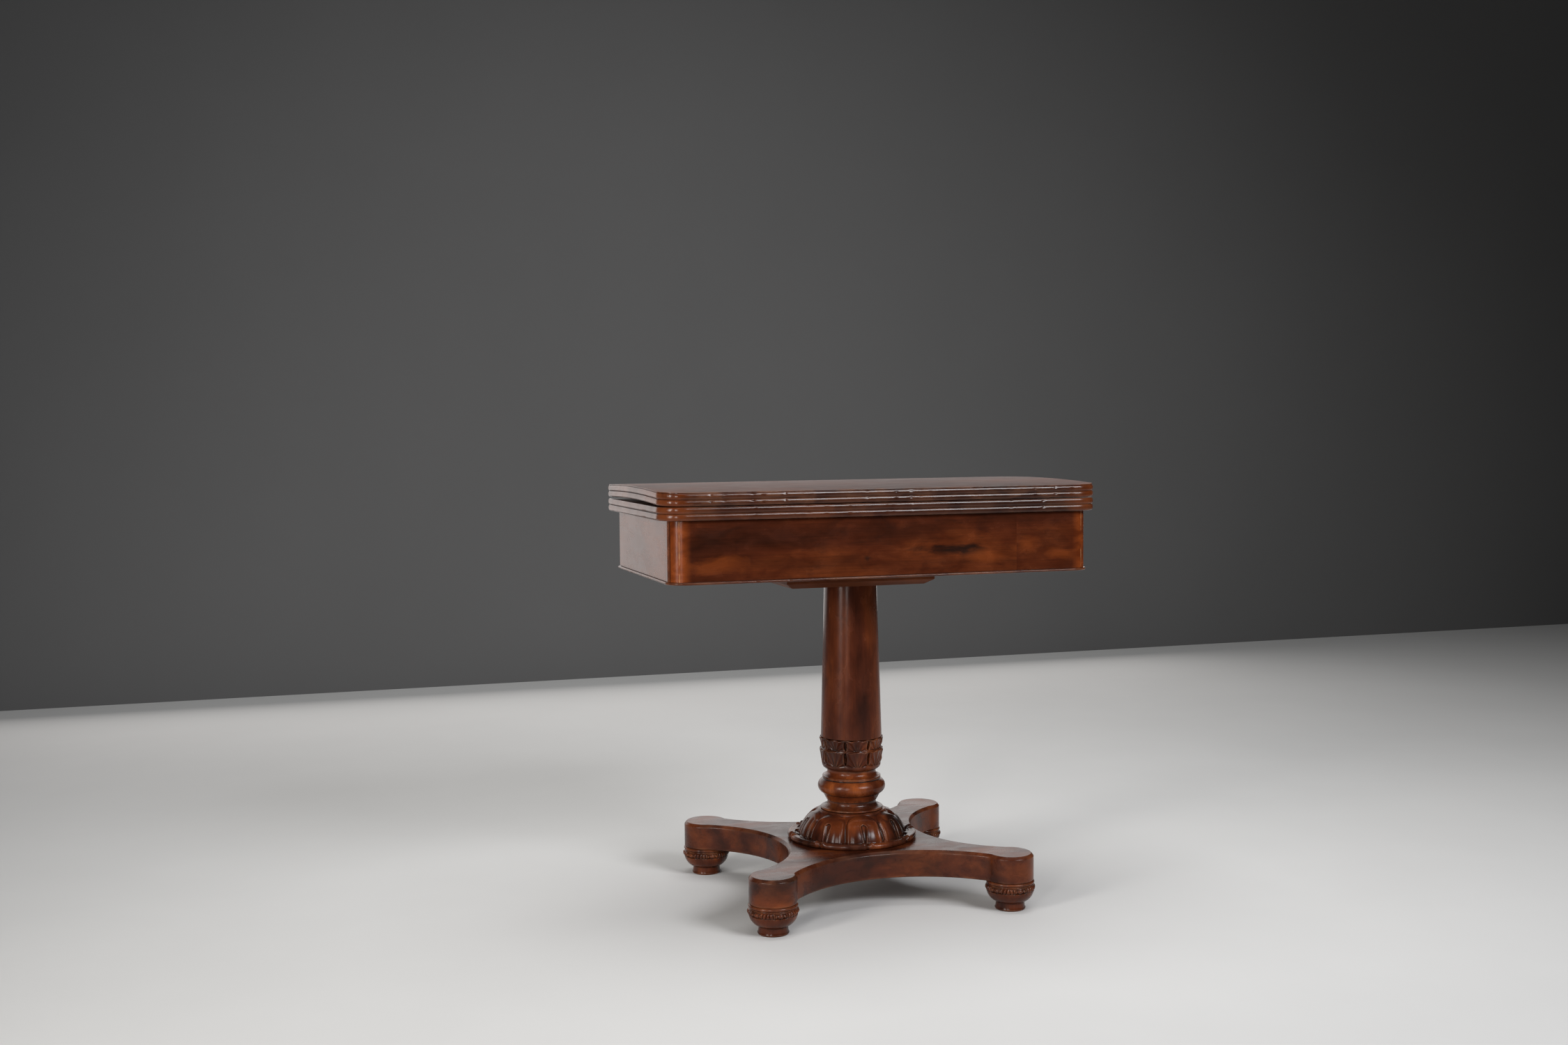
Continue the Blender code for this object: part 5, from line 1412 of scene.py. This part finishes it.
def build_upper_leaf():
    """Upper leaf, cupped by age, cut for the hinges and the baize."""
    cutters = hinge_seats(0, HINGE_HEIGHT + FIT) + [recess(UPPER_Z, -1)]
    mesh = cup(carve(leaf_mesh("upper_leaf", UPPER_Z, ARRIS_HEIGHT, 22), cutters))
    wood = leaf_wood("upper_leaf_wood", 11.0, 0.28)
    return add_piece("reeded_upper_leaf", mesh, "mahogany", wood, "upper_leaf", body="fold_leaf")


def build_top():
    lower = build_lower_leaf()
    upper = build_upper_leaf()
    cloth = baize_cloth()
    for leaf, name, body, mesh in ((lower, "lower", "swivel_top", cloth_mesh("lower", LOWER_TOP, 1)),
                                   (upper, "upper", "fold_leaf", cup(cloth_mesh("upper", UPPER_Z, -1)))):
        sheet = add_piece(name + "_cloth", mesh, "baize", cloth, name + "_baize", body=body)


def build_hinges(brass):
    for side, x in HINGES:
        for level, up, body in (("lower", False, "swivel_top"), ("upper", True, "fold_leaf")):
            node = f"hinge_{level}_flap_{side}"
            add_piece("butt_" + node, flap_mesh(node, x, up), "brass", brass, node, body=body)
            add_piece(f"hinge_{level}_screws_{side}", screw_heads("screws", x, up), "brass", brass, body=body)


def dress_solids(materials):
    """Give the solids that still show a material of their slot."""
    for row in frame["record"]["subparts"]:
        obj = frame["nodes"][row["node"]]
        if not obj.hide_render:
            obj.data.materials.clear()
            obj.data.materials.append(materials[row["material_slot"]])


# Stage

ROOM_X = 6.0
ROOM_FRONT = -7.0
ROOM_BACK = 2.75
ROOM_HEIGHT = 5.0
WALL = 0.1
FLOOR_GREY = (0.60, 0.60, 0.59)
WALL_GREY = (0.118, 0.118, 0.118)
COOL = (0.97, 0.97, 1.0)
WARM = (1.0, 0.97, 0.94)
DIM = (1.0, 0.96, 0.94)
WHITE = (1.0, 1.0, 1.0)


def build_stage():
    """A pale floor in a plain grey room that is open above."""
    floor = box_mesh("floor", (-ROOM_X, ROOM_FRONT, -WALL), (ROOM_X, ROOM_BACK, 0))
    walls = [box_mesh("wall", (-ROOM_X, y, -WALL), (ROOM_X, y + WALL, ROOM_HEIGHT))
             for y in (ROOM_FRONT - WALL, ROOM_BACK)]
    walls += [box_mesh("wall", (x, ROOM_FRONT, -WALL), (x + WALL, ROOM_BACK, ROOM_HEIGHT))
              for x in (-ROOM_X - WALL, ROOM_X)]
    backdrop = joined("backdrop", walls)
    for name, mesh, colour, rough in (("floor", floor, FLOOR_GREY, 0.85),
                                      ("backdrop", backdrop, WALL_GREY, 0.8)):
        obj = add_object(name, mesh)
        obj.data.materials.append(stage_paint(name + "_paint", colour, rough))


def light_stage():
    """Soft lamps: high at the front right, two tall ones at the left, overhead, and a dim wide one behind."""
    middle = (0.0, 0.0, 0.55)
    add_lamp("front_lamp", (1.5, -3.0, 2.4), middle, (1.6, 1.0), 33, COOL, 100)
    add_lamp("left_lamp", (-2.83, -1.5, 1.35), middle, (0.6, 2.0), 18, WARM, 100)
    add_lamp("column_lamp", (-2.0, -2.75, 1.2), middle, (0.3, 1.6), 8.5, WARM, 100)
    add_lamp("top_lamp", (0.2, 0.2, 3.6), (0.2, 0.2, 0.0), (2.6, 2.6), 40, WHITE, 130)
    add_lamp("back_lamp", (0.1, 2.6, 0.85), (0.1, 0.0, 0.85), (4.2, 1.3), 21, DIM, 180)
    world = bpy.data.worlds.new("room")
    world.use_nodes = True
    background = world.node_tree.nodes["Background"]
    background.inputs["Color"].default_value = (0.80, 0.81, 0.84, 1.0)
    background.inputs["Strength"].default_value = 0.10
    bpy.context.scene.world = world
    bpy.context.scene.view_settings.view_transform = "Standard"


CARCASS = bare_wood()
BRASS = old_metal("old_brass", (0.56, 0.39, 0.15), (0.20, 0.12, 0.05), (0.28, 0.48))
IRON = old_metal("old_iron", (0.13, 0.12, 0.115), (0.060, 0.040, 0.030), (0.40, 0.62))

place_camera()
build_stage()
light_stage()
build_platform()
build_feet()
build_dome()
build_knop()
build_collar()
build_shaft()
build_bearer()
build_frieze(CARCASS)
build_beads()
build_top()
build_hinges(BRASS)
dress_solids({"carcass_wood": CARCASS, "brass": BRASS, "iron": IRON})
